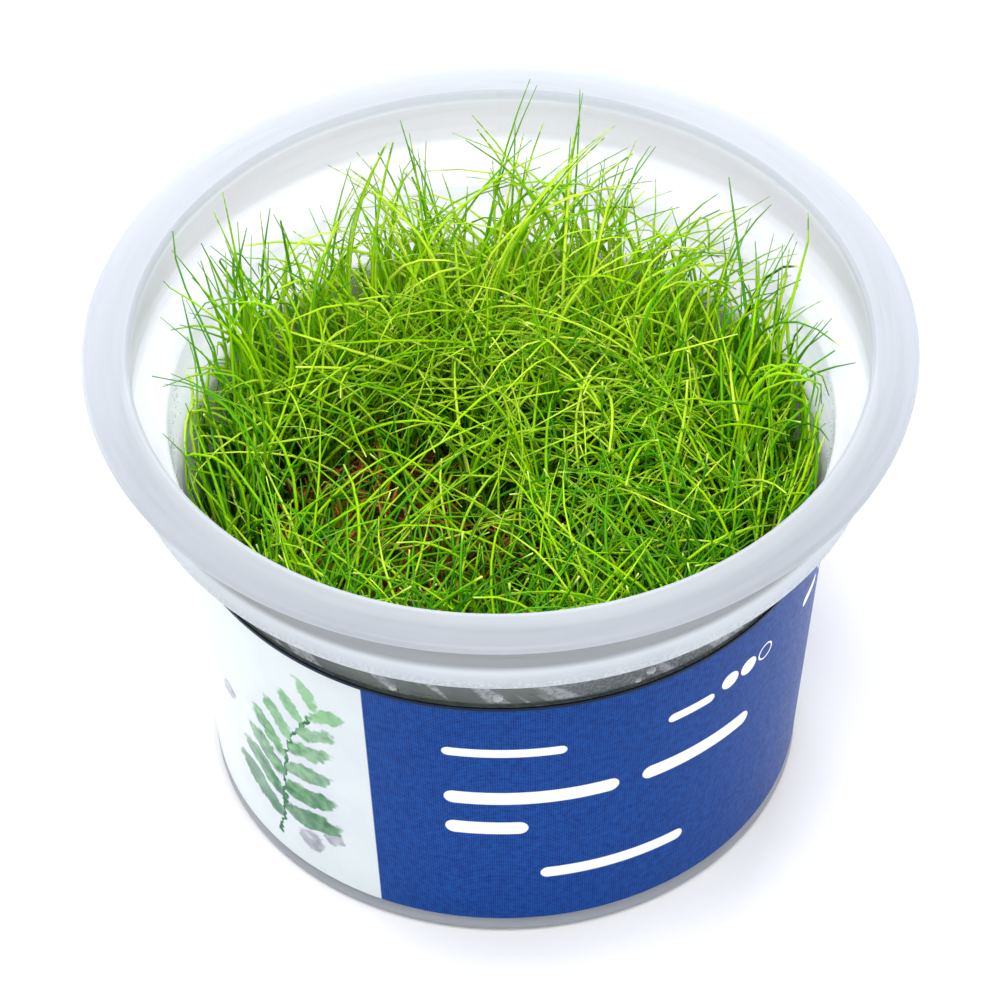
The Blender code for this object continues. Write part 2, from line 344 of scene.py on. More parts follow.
    def dull(self, value: Socket, low: float, high: float, rise: Span = (0.3, 0.7)) -> None:
        """Let a noise set how dull the surface is.

        Args:
            value: The noise.
            low: The least roughness.
            high: The greatest roughness.
            rise: The noise's values that give the least and the greatest.
        """
        self.drive("Roughness", self.span(value, *rise, low, high))

    def bump(self, height: Socket, distance: float, strength: float = 1.0) -> None:
        """Raise the surface's shading by a height map.

        Args:
            height: The height, from 0 to 1.
            distance: What 1 stands for, in metres.
            strength: The share of it that shows.
        """
        made = self.node("ShaderNodeBump")
        made.inputs["Strength"].default_value = strength
        made.inputs["Distance"].default_value = distance
        self.feed(made.inputs["Height"], height)
        self.drive("Normal", made.outputs[0])


@dataclass(frozen=True)
class WallPlace:
    """Where a point of the cup lies, as sockets: from the axis, round it, to the back and up."""

    graph: Graph
    reach: Socket
    azimuth: Socket
    y: Socket
    height: Socket

    @classmethod
    def read(cls, graph: Graph) -> "WallPlace":
        """Read the place off the object's own frame; the azimuth is 0 at the front.

        Args:
            graph: The material's graph.

        Returns:
            The place.
        """
        x, y, height = graph.axes(graph.place())
        azimuth = graph.maths("ARCTAN2", x, graph.times(y, -1.0))
        return cls(graph, graph.length(x, y), azimuth, y, height)


@dataclass(frozen=True)
class CupPlastic:
    """Milky moulded plastic: it scatters light through its wall and lets a little pass."""

    colour: Colour = (0.645, 0.69, 0.755)
    # Painted shade: the clear band at the front is coloured, and lets through, a dark grey that stands in
    # for the shaded inside seen through it.
    band_painted_shade_colour: Colour = (0.17, 0.185, 0.205)
    streak_colour: Colour = (0.66, 0.70, 0.73)
    through: Colour = (0.86, 0.90, 0.94)
    # Painted light: the inner side is coloured lighter than the outer, standing in for light that passes
    # through the wall.
    inner_painted_light_colour: Colour = (0.93, 0.955, 0.97)
    inner_painted_light_through: Colour = (0.95, 0.97, 0.99)
    band_painted_shade_through: Colour = (0.40, 0.43, 0.47)
    clear_tint: Colour = (0.86, 0.83, 0.88)
    label_edge_shadow_colour: Colour = (0.02, 0.025, 0.03)
    edge_colour: Colour = (0.30, 0.33, 0.36)
    glint_colour: Colour = (0.72, 0.76, 0.79)
    roughness: float = 0.26
    scatter: float = 0.55
    thick_veil: float = 0.85
    back_veil: float = 0.62
    thin_veil: float = 0.50
    streak_veil: float = 0.36
    mist_veil: Span = (0.10, 0.42)
    streak_tint: float = 0.9
    edge_share: float = 0.40
    label_edge_shadow_share: float = 0.9
    # Depths of painted shade: a line at the rim's inner edge, the flange top and the neck's shadow under
    # the flange; the outer wall below the neck is also darkened slightly.
    rim_edge_shade_depth: float = 0.14
    flange_shade_depth: Span = (0.05, 0.16)
    lower_depth: float = 0.04
    flange_shadow_depth: float = 0.60
    foot_top: float = 3.0 * MM
    band_start: Span = (52.6 * MM, 53.2 * MM)
    edge_inner: float = 44.3 * MM
    edge_outer: float = 44.8 * MM
    neck_outer: float = 45.4 * MM
    rim_edge_shade_height: Span = (63.8 * MM, 64.4 * MM)
    flange_under: Span = (63.9 * MM, 63.2 * MM)
    flange_start: Span = (62.5 * MM, 63.2 * MM)
    flange_shade_fade: Span = (10.0 * MM, -44.0 * MM)
    inner_end: Span = (64.2 * MM, 63.6 * MM)
    inner_start: Span = (53.2 * MM, 53.6 * MM)
    neck_start: Span = (55.8 * MM, 57.2 * MM)
    neck_edge: tuple[Span, Span] = ((52.9 * MM, 53.2 * MM), (54.9 * MM, 54.1 * MM))
    neck_edge_reach: Span = (43.6 * MM, 44.4 * MM)
    lower_end: Span = (57.5 * MM, 52.5 * MM)
    lower_start: Span = (20.0 * MM, 30.0 * MM)
    # Heights of the painted shadow line along the label's top edge, on the step over it.
    seam: tuple[Span, Span] = ((45.3 * MM, 44.9 * MM), (43.8 * MM, 44.0 * MM))
    back: Span = (5.0 * MM, 30.0 * MM)
    mist: tuple[float, float] = (math.radians(7.0), math.radians(118.0))
    milky_from: float = -14.0 * MM
    milky_to: float = 4.0 * MM
    taper: float = 0.097
    foot_radius: float = 35.6 * MM
    half_wall: float = 0.45 * MM

    def material(self) -> Material:
        """Make the plastic, clearer where the wall is thin and misted on one side, with painted light on
        its inner side and painted shade in places.

        Returns:
            The material.
        """
        graph = Graph("cup_plastic")
        spot = WallPlace.read(graph)
        thick = graph.most(graph.span(spot.height, *self.band_start),
                           graph.edge(spot.height, self.foot_top, 0.5 * MM),
                           graph.span(spot.y, self.milky_from, self.milky_to))
        # Mask of the inner side, which takes the painted light.
        inner = graph.times(self.inner_face(spot), thick)
        film = self.rings(spot)
        streak = self.streaks(spot)
        speckle = graph.span(graph.noise(2500.0, 1.0), 0.50, 0.57)
        shade = graph.grey(self.shade(spot, film))
        # The clear band takes its painted shade colour, with lighter patches of film.
        band = graph.mix(graph.times(streak, self.streak_tint), self.band_painted_shade_colour, self.streak_colour)
        tint = graph.mix(thick, band, graph.mix(inner, self.colour, self.inner_painted_light_colour))
        tint = graph.mix(1.0, tint, shade, "MULTIPLY")
        graph.drive("Base Color", self.edges(spot, tint, speckle))
        graph.dull(film, self.roughness, self.roughness + 0.10)
        graph.set(IOR=1.49, Specular_IOR_Level=0.5)
        graph.bump(graph.noise(2600.0, 2.0), 0.02 * MM, 0.3)
        glow = graph.node("ShaderNodeBsdfTranslucent")
        passed = graph.mix(thick, self.band_painted_shade_through, graph.mix(inner, self.through, self.inner_painted_light_through))
        graph.feed(glow.inputs["Color"], graph.mix(1.0, passed, shade, "MULTIPLY"))
        milk = graph.blend(self.scatter, graph.shader.outputs[0], glow.outputs[0])
        clear = graph.node("ShaderNodeBsdfTransparent")
        graph.feed(clear.inputs["Color"], self.clear_tint)
        whole = graph.blend(self.veil(spot, thick, speckle, streak), clear.outputs[0], milk)
        graph.feed(graph.tree.nodes["Material Output"].inputs["Surface"], whole)
        return graph.material

    def edges(self, spot: WallPlace, tint: Socket, speckle: Socket) -> Socket:
        """Darken the front of the neck's lower edge with painted highlight glints on it, and paint a shadow
        line on the step over the label.

        Args:
            spot: The place on the cup.
            tint: The plastic's colour.
            speckle: A mask of fine specks.

        Returns:
            The colour with both.
        """
        graph = spot.graph
        # The front of the neck's lower edge is darkened, and fine painted highlight glints are laid on it.
        rough = graph.times(graph.window(spot.height, *self.neck_edge),
                            graph.span(spot.reach, *self.neck_edge_reach),
                            graph.span(spot.y, 0.0, self.milky_from))
        tint = graph.mix(graph.times(rough, self.edge_share), tint, self.edge_colour)
        tint = graph.mix(graph.times(rough, speckle), tint, self.glint_colour)
        # Painted shadow: a dark line on the step over the label's top edge, at the front.
        seam = graph.times(graph.window(spot.height, *self.seam),
                           graph.span(spot.y, self.milky_to, self.milky_from, 0.0, self.label_edge_shadow_share))
        return graph.mix(seam, tint, self.label_edge_shadow_colour)

    def shade(self, spot: WallPlace, film: Socket) -> Socket:
        """Work out the plastic's level: faint moulding rings, and painted shade at the rim's inner edge, on
        the flange top and under the flange.

        Args:
            spot: The place on the cup.
            film: The moulding rings' noise.

        Returns:
            The level, from 0 to 1.
        """
        graph = spot.graph
        off_edge = graph.size(graph.minus(spot.reach, 0.5 * (self.edge_inner + self.edge_outer)))
        # Painted shade: a thin dark line at the rim's inner edge, standing in for refraction at the wall's
        # edge.
        line = graph.times(graph.span(off_edge, 0.32 * MM, 0.12 * MM),
                           graph.span(spot.height, *self.rim_edge_shade_height))
        outside = graph.span(spot.reach, self.neck_outer - 0.3 * MM, self.neck_outer - 0.1 * MM)
        # Painted shadow: the neck's outer side is darkened under the flange, all round.
        under = graph.times(outside, graph.window(spot.height, self.neck_start, self.flange_under))
        # Painted shade: the flange top is darkened, most at the front.
        top = graph.times(graph.span(spot.reach, self.edge_outer, self.edge_outer + 0.5 * MM),
                          graph.span(spot.height, *self.flange_start))
        lower = graph.times(outside, graph.span(spot.height, *self.lower_end),
                            graph.span(spot.height, *self.lower_start))
        return graph.minus(graph.span(film, 0.3, 0.7, 0.95, 1.0), graph.times(line, self.rim_edge_shade_depth),
                           graph.times(top, graph.span(spot.y, *self.flange_shade_fade, *self.flange_shade_depth)),
                           graph.times(lower, self.lower_depth), graph.times(under, self.flange_shadow_depth))

    def inner_face(self, spot: WallPlace) -> Socket:
        """Mask the cup's inner side, whose wall widens in two steps.

        Args:
            spot: The place on the cup.

        Returns:
            The mask.
        """
        graph = spot.graph
        neck = graph.span(spot.reach, self.neck_outer - 0.5 * MM, self.neck_outer - 0.7 * MM)
        body_room = graph.plus(graph.times(spot.height, self.taper), self.foot_radius - self.half_wall)
        body = graph.edge(graph.minus(spot.reach, body_room), 0.0, 0.1 * MM)
        neck = graph.times(neck, graph.span(spot.height, *self.inner_start))
        return graph.times(graph.most(neck, body), graph.span(spot.height, *self.inner_end))

    def rings(self, spot: WallPlace) -> Socket:
        """Return the faint rings that moulding leaves round the cup."""
        round_cup = spot.graph.times(spot.azimuth, 3.0 * MM)
        return spot.graph.noise(620.0, 2.0, vector=spot.graph.vector(spot.reach, round_cup, spot.height))

    def streaks(self, spot: WallPlace) -> Socket:
        """Mask the slanting patches of film on the wall.

        Args:
            spot: The place on the cup.

        Returns:
            The mask.
        """
        graph = spot.graph
        slant = graph.plus(graph.times(spot.azimuth, 40.0 * MM), graph.times(spot.height, 0.9))
        flow = graph.vector(slant, graph.times(spot.height, 0.22))
        film = graph.noise(210.0, 2.0, vector=flow)
        broad = graph.span(graph.noise(70.0, 1.0, vector=flow), 0.36, 0.62, -0.09, 0.05)
        grain = graph.span(graph.noise(1700.0, 2.0), 0.36, 0.60, 0.45, 1.0)
        return graph.times(graph.span(graph.plus(film, broad), 0.51, 0.56), grain)

    def veil(self, spot: WallPlace, thick: Socket, speckle: Socket, streak: Socket) -> Socket:
        """Work out how much of what is behind the wall the plastic hides.

        Args:
            spot: The place on the cup.
            thick: A mask of the milky parts.
            speckle: A mask of fine specks.
            streak: A mask of the patches of film.

        Returns:
            The share that it hides.
        """
        graph = spot.graph
        start, end = self.mist
        haze, drops = self.mist_veil
        mist = graph.window(spot.azimuth, (start, start + 0.05), (end, end - 0.4))
        misted = graph.times(mist, graph.plus(graph.times(speckle, drops), haze))
        thin = graph.plus(misted, graph.times(streak, self.streak_veil), self.thin_veil)
        hollow = graph.times(graph.span(spot.y, *self.back), graph.span(spot.height, *self.flange_under))
        full = graph.span(hollow, 0.0, 1.0, self.thick_veil, self.back_veil)
        return graph.between(thick, graph.maths("MINIMUM", thin, 1.0), full)


@dataclass(frozen=True)
class SheetPlace:
    """Where a point of the label lies on the flat sheet, as sockets: along it and up it."""

    graph: Graph
    along: Socket
    up: Socket

    def moved(self, along: Socket, up: Socket) -> "SheetPlace":
        """Return the place moved along the sheet and up it."""
        return SheetPlace(self.graph, self.graph.plus(self.along, along), self.graph.plus(self.up, up))

    def off_line(self, centre: tuple[float, float], half_length: float = 0.0) -> Socket:
        """Measure the distance to a level line on the sheet.

        Args:
            centre: The line's middle.
            half_length: Half its length; 0 measures to the middle itself.

        Returns:
            The distance, in metres.
        """
        graph = self.graph
        aside = graph.size(graph.minus(self.along, centre[0]))
        beyond = graph.most(graph.minus(aside, half_length), 0.0)
        return graph.length(beyond, graph.minus(self.up, centre[1]))

    def oval(self, centre: tuple[float, float], half: tuple[float, float], lean: float,
             soft: float) -> Socket:
        """Mask a leaning oval, 1 inside and 0 outside.

        Args:
            centre: The oval's middle.
            half: Its half width and half height.
            lean: How far it leans to the right, in radians.
            soft: The width of its edge.

        Returns:
            The mask.
        """
        graph = self.graph
        x = graph.minus(self.along, centre[0])
        y = graph.minus(self.up, centre[1])
        cosine, sine = math.cos(lean), math.sin(lean)
        across = graph.minus(graph.times(x, cosine), graph.times(y, sine))
        lengthwise = graph.plus(graph.times(x, sine), graph.times(y, cosine))
        reach = graph.length(graph.maths("DIVIDE", across, half[0]),
                             graph.maths("DIVIDE", lengthwise, half[1]))
        return graph.edge(reach, 1.0, 0.5 * soft / min(half))


@dataclass(frozen=True)
class LabelPrint:
    """Printed coated paper: a deep blue ground and one pale panel with a leafy motif."""

    blue: Colour = (0.0001, 0.014, 0.130)
    blue_light: Colour = (0.004, 0.080, 0.370)
    pale: Colour = (0.68, 0.745, 0.77)
    ink: Colour = (0.90, 0.92, 0.95)
    top_edge_shadow: Colour = (0.006, 0.016, 0.035)
    leaf: Colour = (0.02, 0.14, 0.055)
    leaf_light: Colour = (0.24, 0.50, 0.24)
    berry: Colour = (0.30, 0.30, 0.36)
    lilac: Colour = (0.60, 0.60, 0.72)
    paper_back: tuple[Colour, Colour] = ((0.80, 0.82, 0.84), (0.90, 0.91, 0.93))
    roughness: float = 0.32
    screen_pitch: float = 0.55 * MM
    screen_share: float = 0.62
    top_edge_shadow_width: float = 0.48 * MM
    ragged: float = 2.4 * MM
    wavy: float = 2.6 * MM
    map_name: str = "sheet"

    def material(self, sheet: "Label") -> Material:
        """Make the printed side, with a painted shadow along its top edge.

        Args:
            sheet: The label, whose panel and marks are printed.

        Returns:
            The material.
        """
        graph = Graph("label_print")
        along, up, _ = graph.axes(graph.node("ShaderNodeUVMap", uv_map=self.map_name).outputs[0])
        spot = SheetPlace(graph, along, up)
        left = sheet.panel_edge - sheet.panel_width
        inside = graph.times(graph.edge(along, left, -0.1 * MM),
                             graph.edge(along, sheet.panel_edge, 0.08 * MM))
        printed = graph.mix(inside, self.marks(spot, sheet), self.panel(spot, sheet))
        # Painted shadow: a dark band along the label's top edge.
        rim = graph.edge(up, sheet.cup.label_high - self.top_edge_shadow_width, -0.04 * MM)
        graph.drive("Base Color", graph.mix(rim, printed, self.top_edge_shadow))
        grain = graph.noise(1500.0, 3.0)
        graph.dull(grain, self.roughness, self.roughness + 0.1)
        graph.set(IOR=1.5, Specular_IOR_Level=0.07)
        graph.bump(grain, 0.02 * MM, 0.3)
        return graph.material

    def inner_side(self) -> Material:
        """Make the bare white paper of the label's inner side.

        Returns:
            The material.
        """
        graph = Graph("label_back")
        fibre = graph.noise(900.0, 4.0)
        graph.drive("Base Color", graph.ramp(fibre, tuple(zip((0.3, 0.7), self.paper_back))))
        graph.dull(fibre, 0.6, 0.75)
        graph.bump(fibre, 0.03 * MM, 0.4)
        return graph.material

    def ground(self, spot: SheetPlace) -> Socket:
        """Print the blue ground with its fine screen.

        Args:
            spot: The place on the sheet.

        Returns:
            The colour.
        """
        graph = spot.graph
        wave = FULL_TURN / self.screen_pitch
        across = graph.maths("SINE", graph.times(graph.plus(spot.along, spot.up), wave))
        other = graph.maths("SINE", graph.times(graph.minus(spot.along, spot.up), wave))
        level = graph.plus(graph.times(across, other, self.screen_share), graph.noise(1300.0, 2.0))
        return graph.ramp(level, ((0.15, self.blue), (0.85, self.blue_light)))

    def marks(self, spot: SheetPlace, sheet: "Label") -> Socket:
        """Print plain white bars with round ends, dots and rings on the blue ground.

        Args:
            spot: The place on the sheet.
            sheet: The label, which says where they stand.

        Returns:
            The colour.
        """
        graph = spot.graph
        ground = self.ground(spot)
        filled = [((0.5 * (left + right), height), 0.5 * (right - left) - half, half)
                  for left, right, height, half in sheet.bars]
        filled += [(centre, 0.0, sheet.dot_radius) for centre in sheet.dots]
        for centre, half_length, radius in filled:
            mask = graph.edge(spot.off_line(centre, half_length), radius, 0.06 * MM)
            ground = graph.mix(mask, ground, self.ink)
        for centre in sheet.rings:
            off = graph.size(graph.minus(spot.off_line(centre), sheet.dot_radius - sheet.ring_line))
            ground = graph.mix(graph.edge(off, sheet.ring_line, 0.05 * MM), ground, self.ink)
        return ground

    def panel(self, spot: SheetPlace, sheet: "Label") -> Socket:
        """Print the pale panel: a washed sprig with paired leaves and a few round berries.

        Args:
            spot: The place on the sheet.
            sheet: The label, which says where they stand.

        Returns:
            The colour.
        """
        graph = spot.graph
        cloud, grain = graph.noise(160.0, 3.0), graph.noise(700.0, 3.0)
        spot = spot.moved(graph.times(graph.minus(graph.noise(900.0, 3.0), 0.5), self.ragged),
                          graph.times(graph.minus(graph.noise(420.0, 2.0), 0.5), self.wavy))
        paper = graph.mix(graph.span(cloud, 0.35, 0.7), self.pale, tuple(0.96 * c for c in self.pale))
        wash = spot.oval((sheet.motif_x - 1.0 * MM, 20.0 * MM), (9.0 * MM, 13.0 * MM), 0.5, 9.0 * MM)
        paper = graph.mix(graph.times(wash, graph.span(cloud, 0.3, 0.75, 0.15, 0.75)), paper, self.lilac)
        paper = graph.mix(self.stem(spot, sheet), paper, self.leaf)
        for x, y, radius in sheet.berries:
            x = sheet.motif_x + x
            body = spot.oval((x, y), (radius, radius), 0.0, 0.5 * MM)
            lit = (x - 0.3 * radius, y + 0.3 * radius)
            light = spot.oval(lit, (0.45 * radius, 0.4 * radius), 0.3, 0.9 * MM)
            paper = graph.mix(graph.times(body, graph.span(grain, 0.3, 0.7, 0.6, 1.0)), paper, self.berry)
            paper = graph.mix(graph.times(light, 0.5), paper, self.pale)
        for centre, length, lean, share in sheet.leaves():
            mask = spot.oval(centre, (sheet.leaf_width * length, 0.5 * length), lean, 0.35 * MM)
            tone = graph.span(graph.plus(grain, 0.5 * share), 0.35, 1.1)
            washed = graph.times(mask, graph.span(cloud, 0.3, 0.7, 0.75, 0.98))
            paper = graph.mix(washed, paper, graph.mix(tone, self.leaf, self.leaf_light))
        return paper

    def stem(self, spot: SheetPlace, sheet: "Label") -> Socket:
        """Mask the sprig's wavy stem.

        Args:
            spot: The place on the sheet.
            sheet: The label, which says where it stands.

        Returns:
            The mask.
        """
        graph = spot.graph
        middle = graph.times(graph.minus(spot.up, sheet.stem_low), sheet.stem_slope)
        sway = graph.times(graph.maths("SINE", graph.times(spot.up, sheet.stem_wave)), sheet.stem_sway)
        off = graph.minus(spot.along, graph.plus(middle, sway, sheet.stem_x))
        ends = graph.window(spot.up, (sheet.stem_low, sheet.stem_low + 0.5 * MM),
                            (sheet.stem_high, sheet.stem_high - 3.0 * MM))
        return graph.times(graph.edge(graph.size(off), 0.32 * MM, 0.10 * MM), ends)


@dataclass(frozen=True)
class RootFinish:
    """Matted roots: reddish-brown fibres, wet in places."""

    dark: Colour = (0.035, 0.012, 0.004)
    red: Colour = (0.58, 0.19, 0.016)
    tan: Colour = (0.82, 0.45, 0.10)
    # Painted shade: the roots are darker and greener under the turf, outside the open patch.
    shaded: Colour = (0.16, 0.30, 0.14)
    open_x: float = -16.0 * MM
    open_y: float = 4.0 * MM
    open_width: float = 27.0 * MM
    open_depth: float = 22.0 * MM

    def ground(self) -> Material:
        """Make the finish of the mat itself.

        Returns:
            The material.
        """
        graph = Graph("root_ground")
        coarse = graph.noise(240.0, 4.0)
        fibre = graph.noise(900.0, 4.0, (1.0, 0.35, 1.0))
        level = graph.plus(graph.times(coarse, 0.5), graph.times(fibre, 0.5))
        self.colour(graph, level, (0.3, 0.55, 0.75))
        graph.dull(coarse, 0.35, 0.7, (0.35, 0.65))
        graph.set(Specular_IOR_Level=0.4)
        graph.bump(fibre, 0.25 * MM)
        return graph.material

    def strand(self) -> Material:
        """Make the finish of single roots and runners.

        Returns:
            The material.
        """
        graph = Graph("root_strand")
        speck = graph.noise(1600.0, 2.0)
        level = graph.plus(graph.times(graph.attribute("tone"), 0.8), graph.times(speck, 0.2))
        self.colour(graph, level, (0.1, 0.5, 0.9))
        graph.dull(speck, 0.4, 0.6)
        graph.bump(speck, 0.05 * MM, 0.5)
        return graph.material

    def colour(self, graph: Graph, level: Socket, stops: tuple[float, float, float]) -> None:
        """Colour roots by a level, with painted shade, darker and greener, but for the patch where the turf
        is open.

        Args:
            graph: The material's graph.
            level: The level that is coloured.
            stops: The levels of the dark, the red and the tan colour.
        """
        tint = graph.ramp(level, tuple(zip(stops, (self.dark, self.red, self.tan))))
        x, y, _ = graph.axes(graph.place())
        aside = graph.maths("DIVIDE", graph.minus(x, self.open_x), self.open_width)
        along = graph.maths("DIVIDE", graph.minus(y, self.open_y), self.open_depth)
        off = graph.plus(graph.times(aside, aside), graph.times(along, along))
        # Painted shade under the turf, lifted where the turf is open.
        shade = graph.mix(graph.span(off, 1.7, 0.7), self.shaded, WHITE)
        graph.drive("Base Color", graph.mix(1.0, tint, shade, "MULTIPLY"))


@dataclass(frozen=True)
class BladeFinish:
    """Fresh grass: yellow-green blades with brown sheaths and dark or pale tips, and painted shade deep in
    the turf.
    """

    deep: Colour = (0.028, 0.16, 0.004)
    green: Colour = (0.10, 0.39, 0.004)
    fresh: Colour = (0.39, 0.73, 0.003)
    lime: Colour = (0.76, 0.93, 0.085)
    dead: Colour = (0.40, 0.20, 0.04)
    sheath: Colour = (0.20, 0.085, 0.02)
    # Painted shade: blades darken and turn greener deep in the turf, less so at the back.
    low: Colour = (0.10, 0.26, 0.22)
    back_painted_shade: Colour = (0.60, 0.90, 0.30)
    dark_tip: Colour = (0.11, 0.25, 0.030)
    pale_tip: Colour = (0.70, 0.88, 0.16)
    tones: tuple[float, ...] = (0.0, 0.30, 0.58, 0.92, 0.97)
    back: Span = (12.0 * MM, 32.0 * MM)
    lit_height: Span = (27.0 * MM, 43.0 * MM)
    roughness: float = 0.27

    def material(self) -> Material:
        """Make the blades' finish, coloured by blade and along each blade, with painted shade by height.

        Returns:
            The material.
        """
        graph = Graph("grass_blade")
        along = graph.attribute("along")
        speck = graph.noise(1100.0, 2.0)
        level = graph.plus(graph.attribute("tone"), graph.times(graph.minus(speck, 0.5), 0.10))
        greens = (self.deep, self.green, self.fresh, self.lime, self.dead)
        body = graph.ramp(level, tuple(zip(self.tones, greens)))
        lower = graph.mix(graph.span(along, 0.02, 0.12), self.sheath, body)
        _, y, height = graph.axes(graph.place())
        # Painted shade by height, lighter towards the back.
        shadow = graph.mix(graph.span(y, *self.back), self.low, self.back_painted_shade)
        light = graph.mix(graph.span(height, *self.lit_height), shadow, WHITE)
        lit = graph.mix(1.0, lower, light, "MULTIPLY")
        darkened = graph.times(graph.span(along, 0.80, 1.0), graph.span(speck, 0.42, 0.58, 0.25, 0.95))
        pointed = graph.mix(darkened, lit, self.dark_tip)
        cut = graph.mix(graph.span(along, 0.95, 1.0), lit, self.pale_tip)
        graph.drive("Base Color", graph.mix(graph.attribute("blunt"), pointed, cut))
        graph.dull(speck, self.roughness, self.roughness + 0.14)
        graph.set(IOR=1.42, Specular_IOR_Level=0.10)
        graph.bump(speck, 0.03 * MM, 0.5)
        return graph.material


@dataclass(frozen=True)
class BeadFinish:
    """Clear beads of water on the wall, with painted shade round their edge."""

    middle: Colour = (0.86, 0.88, 0.92)
    edge: Colour = (0.40, 0.42, 0.45)

    def material(self) -> Material:
        """Make the beads' finish: nearly clear in the middle, with a glossy skin and painted shade round
        the edge.

        Returns:
            The material.
        """
        graph = Graph("condensation")
        weight = graph.node("ShaderNodeLayerWeight")
        weight.inputs["Blend"].default_value = 0.4
        facing = weight.outputs["Facing"]
        # Painted shade round each bead's rim, by how squarely it faces the view, standing in for
        # refraction.
        graph.drive("Base Color", graph.mix(graph.span(facing, 0.25, 0.75), self.middle, self.edge))
        graph.dull(graph.noise(900.0, 1.0), 0.03, 0.08)
        graph.drive("Alpha", graph.span(facing, 0.15, 0.85, 0.22, 0.62))
        graph.set(IOR=1.33, Specular_IOR_Level=1.0)
        return graph.material


@dataclass(frozen=True)
class FloorFinish:
    """Plain pale studio floor."""

    colour: Colour = (0.92, 0.92, 0.93)

    def material(self) -> Material:
        """Make the floor's finish.

        Returns:
            The material.
        """
        graph = Graph("studio_floor")
        darker = tuple(0.985 * c for c in self.colour)
        graph.drive("Base Color", graph.mix(graph.noise(3.0, 2.0), self.colour, darker))
        graph.set(Roughness=0.9, Specular_IOR_Level=0.1)
        return graph.material


def arc(centre: tuple[float, float], radius: float, start: float, end: float, steps: int) -> Profile:
    """Return points along an arc.

    Args:
        centre: Its centre, as a radius from the axis and a height.
        radius: Its radius.
        start: Where it starts, in degrees; 0 points outwards and 90 up.
        end: Where it ends.
        steps: How many steps it has.

    Returns:
        The points, as radii and heights.
    """
    points = []
    for i in range(steps + 1):
        angle = math.radians(start + (end - start) * i / steps)
        points.append((centre[0] + radius * math.cos(angle), centre[1] + radius * math.sin(angle)))
    return points


def mesh_from(name: str, vertices: np.ndarray, faces: list | np.ndarray) -> Object:
    """Make a smooth-shaded object from vertices and faces.

    Args:
        name: The piece's name.
        vertices: Its points, in metres.
        faces: Each face's vertex numbers.

    Returns:
        The object, linked to the scene.
    """
    mesh = bpy.data.meshes.new(name)
    listed = faces.tolist() if isinstance(faces, np.ndarray) else faces
    mesh.from_pydata(np.asarray(vertices).reshape(-1, 3).tolist(), [], listed)
    mesh.shade_smooth()
    piece = bpy.data.objects.new(name, mesh)
    bpy.context.scene.collection.objects.link(piece)
    return piece


def turn_profile(name: str, profile: Profile, segments: int) -> Object:
    """Turn an open profile that starts and ends on the axis into a closed solid.

    Args:
        name: The piece's name.
        profile: Radii and heights, up the inside, and down the outside.
        segments: Steps round the axis.

    Returns:
        The object.
    """
    angles = np.arange(segments) * FULL_TURN / segments
    rings = np.array(profile[1:-1])
    count = len(rings)
    vertices = np.zeros((segments, count, 3))
    vertices[..., 0] = rings[:, 0] * np.cos(angles)[:, None]
    vertices[..., 1] = rings[:, 0] * np.sin(angles)[:, None]
    vertices[..., 2] = rings[:, 1]
    flat = vertices.reshape(-1, 3)
    poles = np.array([(0.0, 0.0, profile[0][1]), (0.0, 0.0, profile[-1][1])])
    first = segments * count
    faces = []
    for i in range(segments):
        here = i * count
        there = ((i + 1) % segments) * count
        faces.append((first, here, there))
        faces.append((first + 1, there + count - 1, here + count - 1))
        for k in range(count - 1):
            faces.append((here + k, here + k + 1, there + k + 1, there + k))
    return mesh_from(name, np.vstack((flat, poles)), faces)


def dress(piece: Object, slot: str, *nodes: str) -> Object:
    """Let a piece ride on the one body, in place of CAD nodes, and log it.

    Args:
        piece: The piece.
        slot: The record's material slot that its finish belongs to; not used.
        *nodes: The CAD nodes that it stands for.

    Returns:
        The piece.
    """
    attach(piece, BODY)
    if nodes:
        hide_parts(*nodes)
    LOG.info("%s: %d faces", piece.name, len(piece.data.polygons))
    return piece


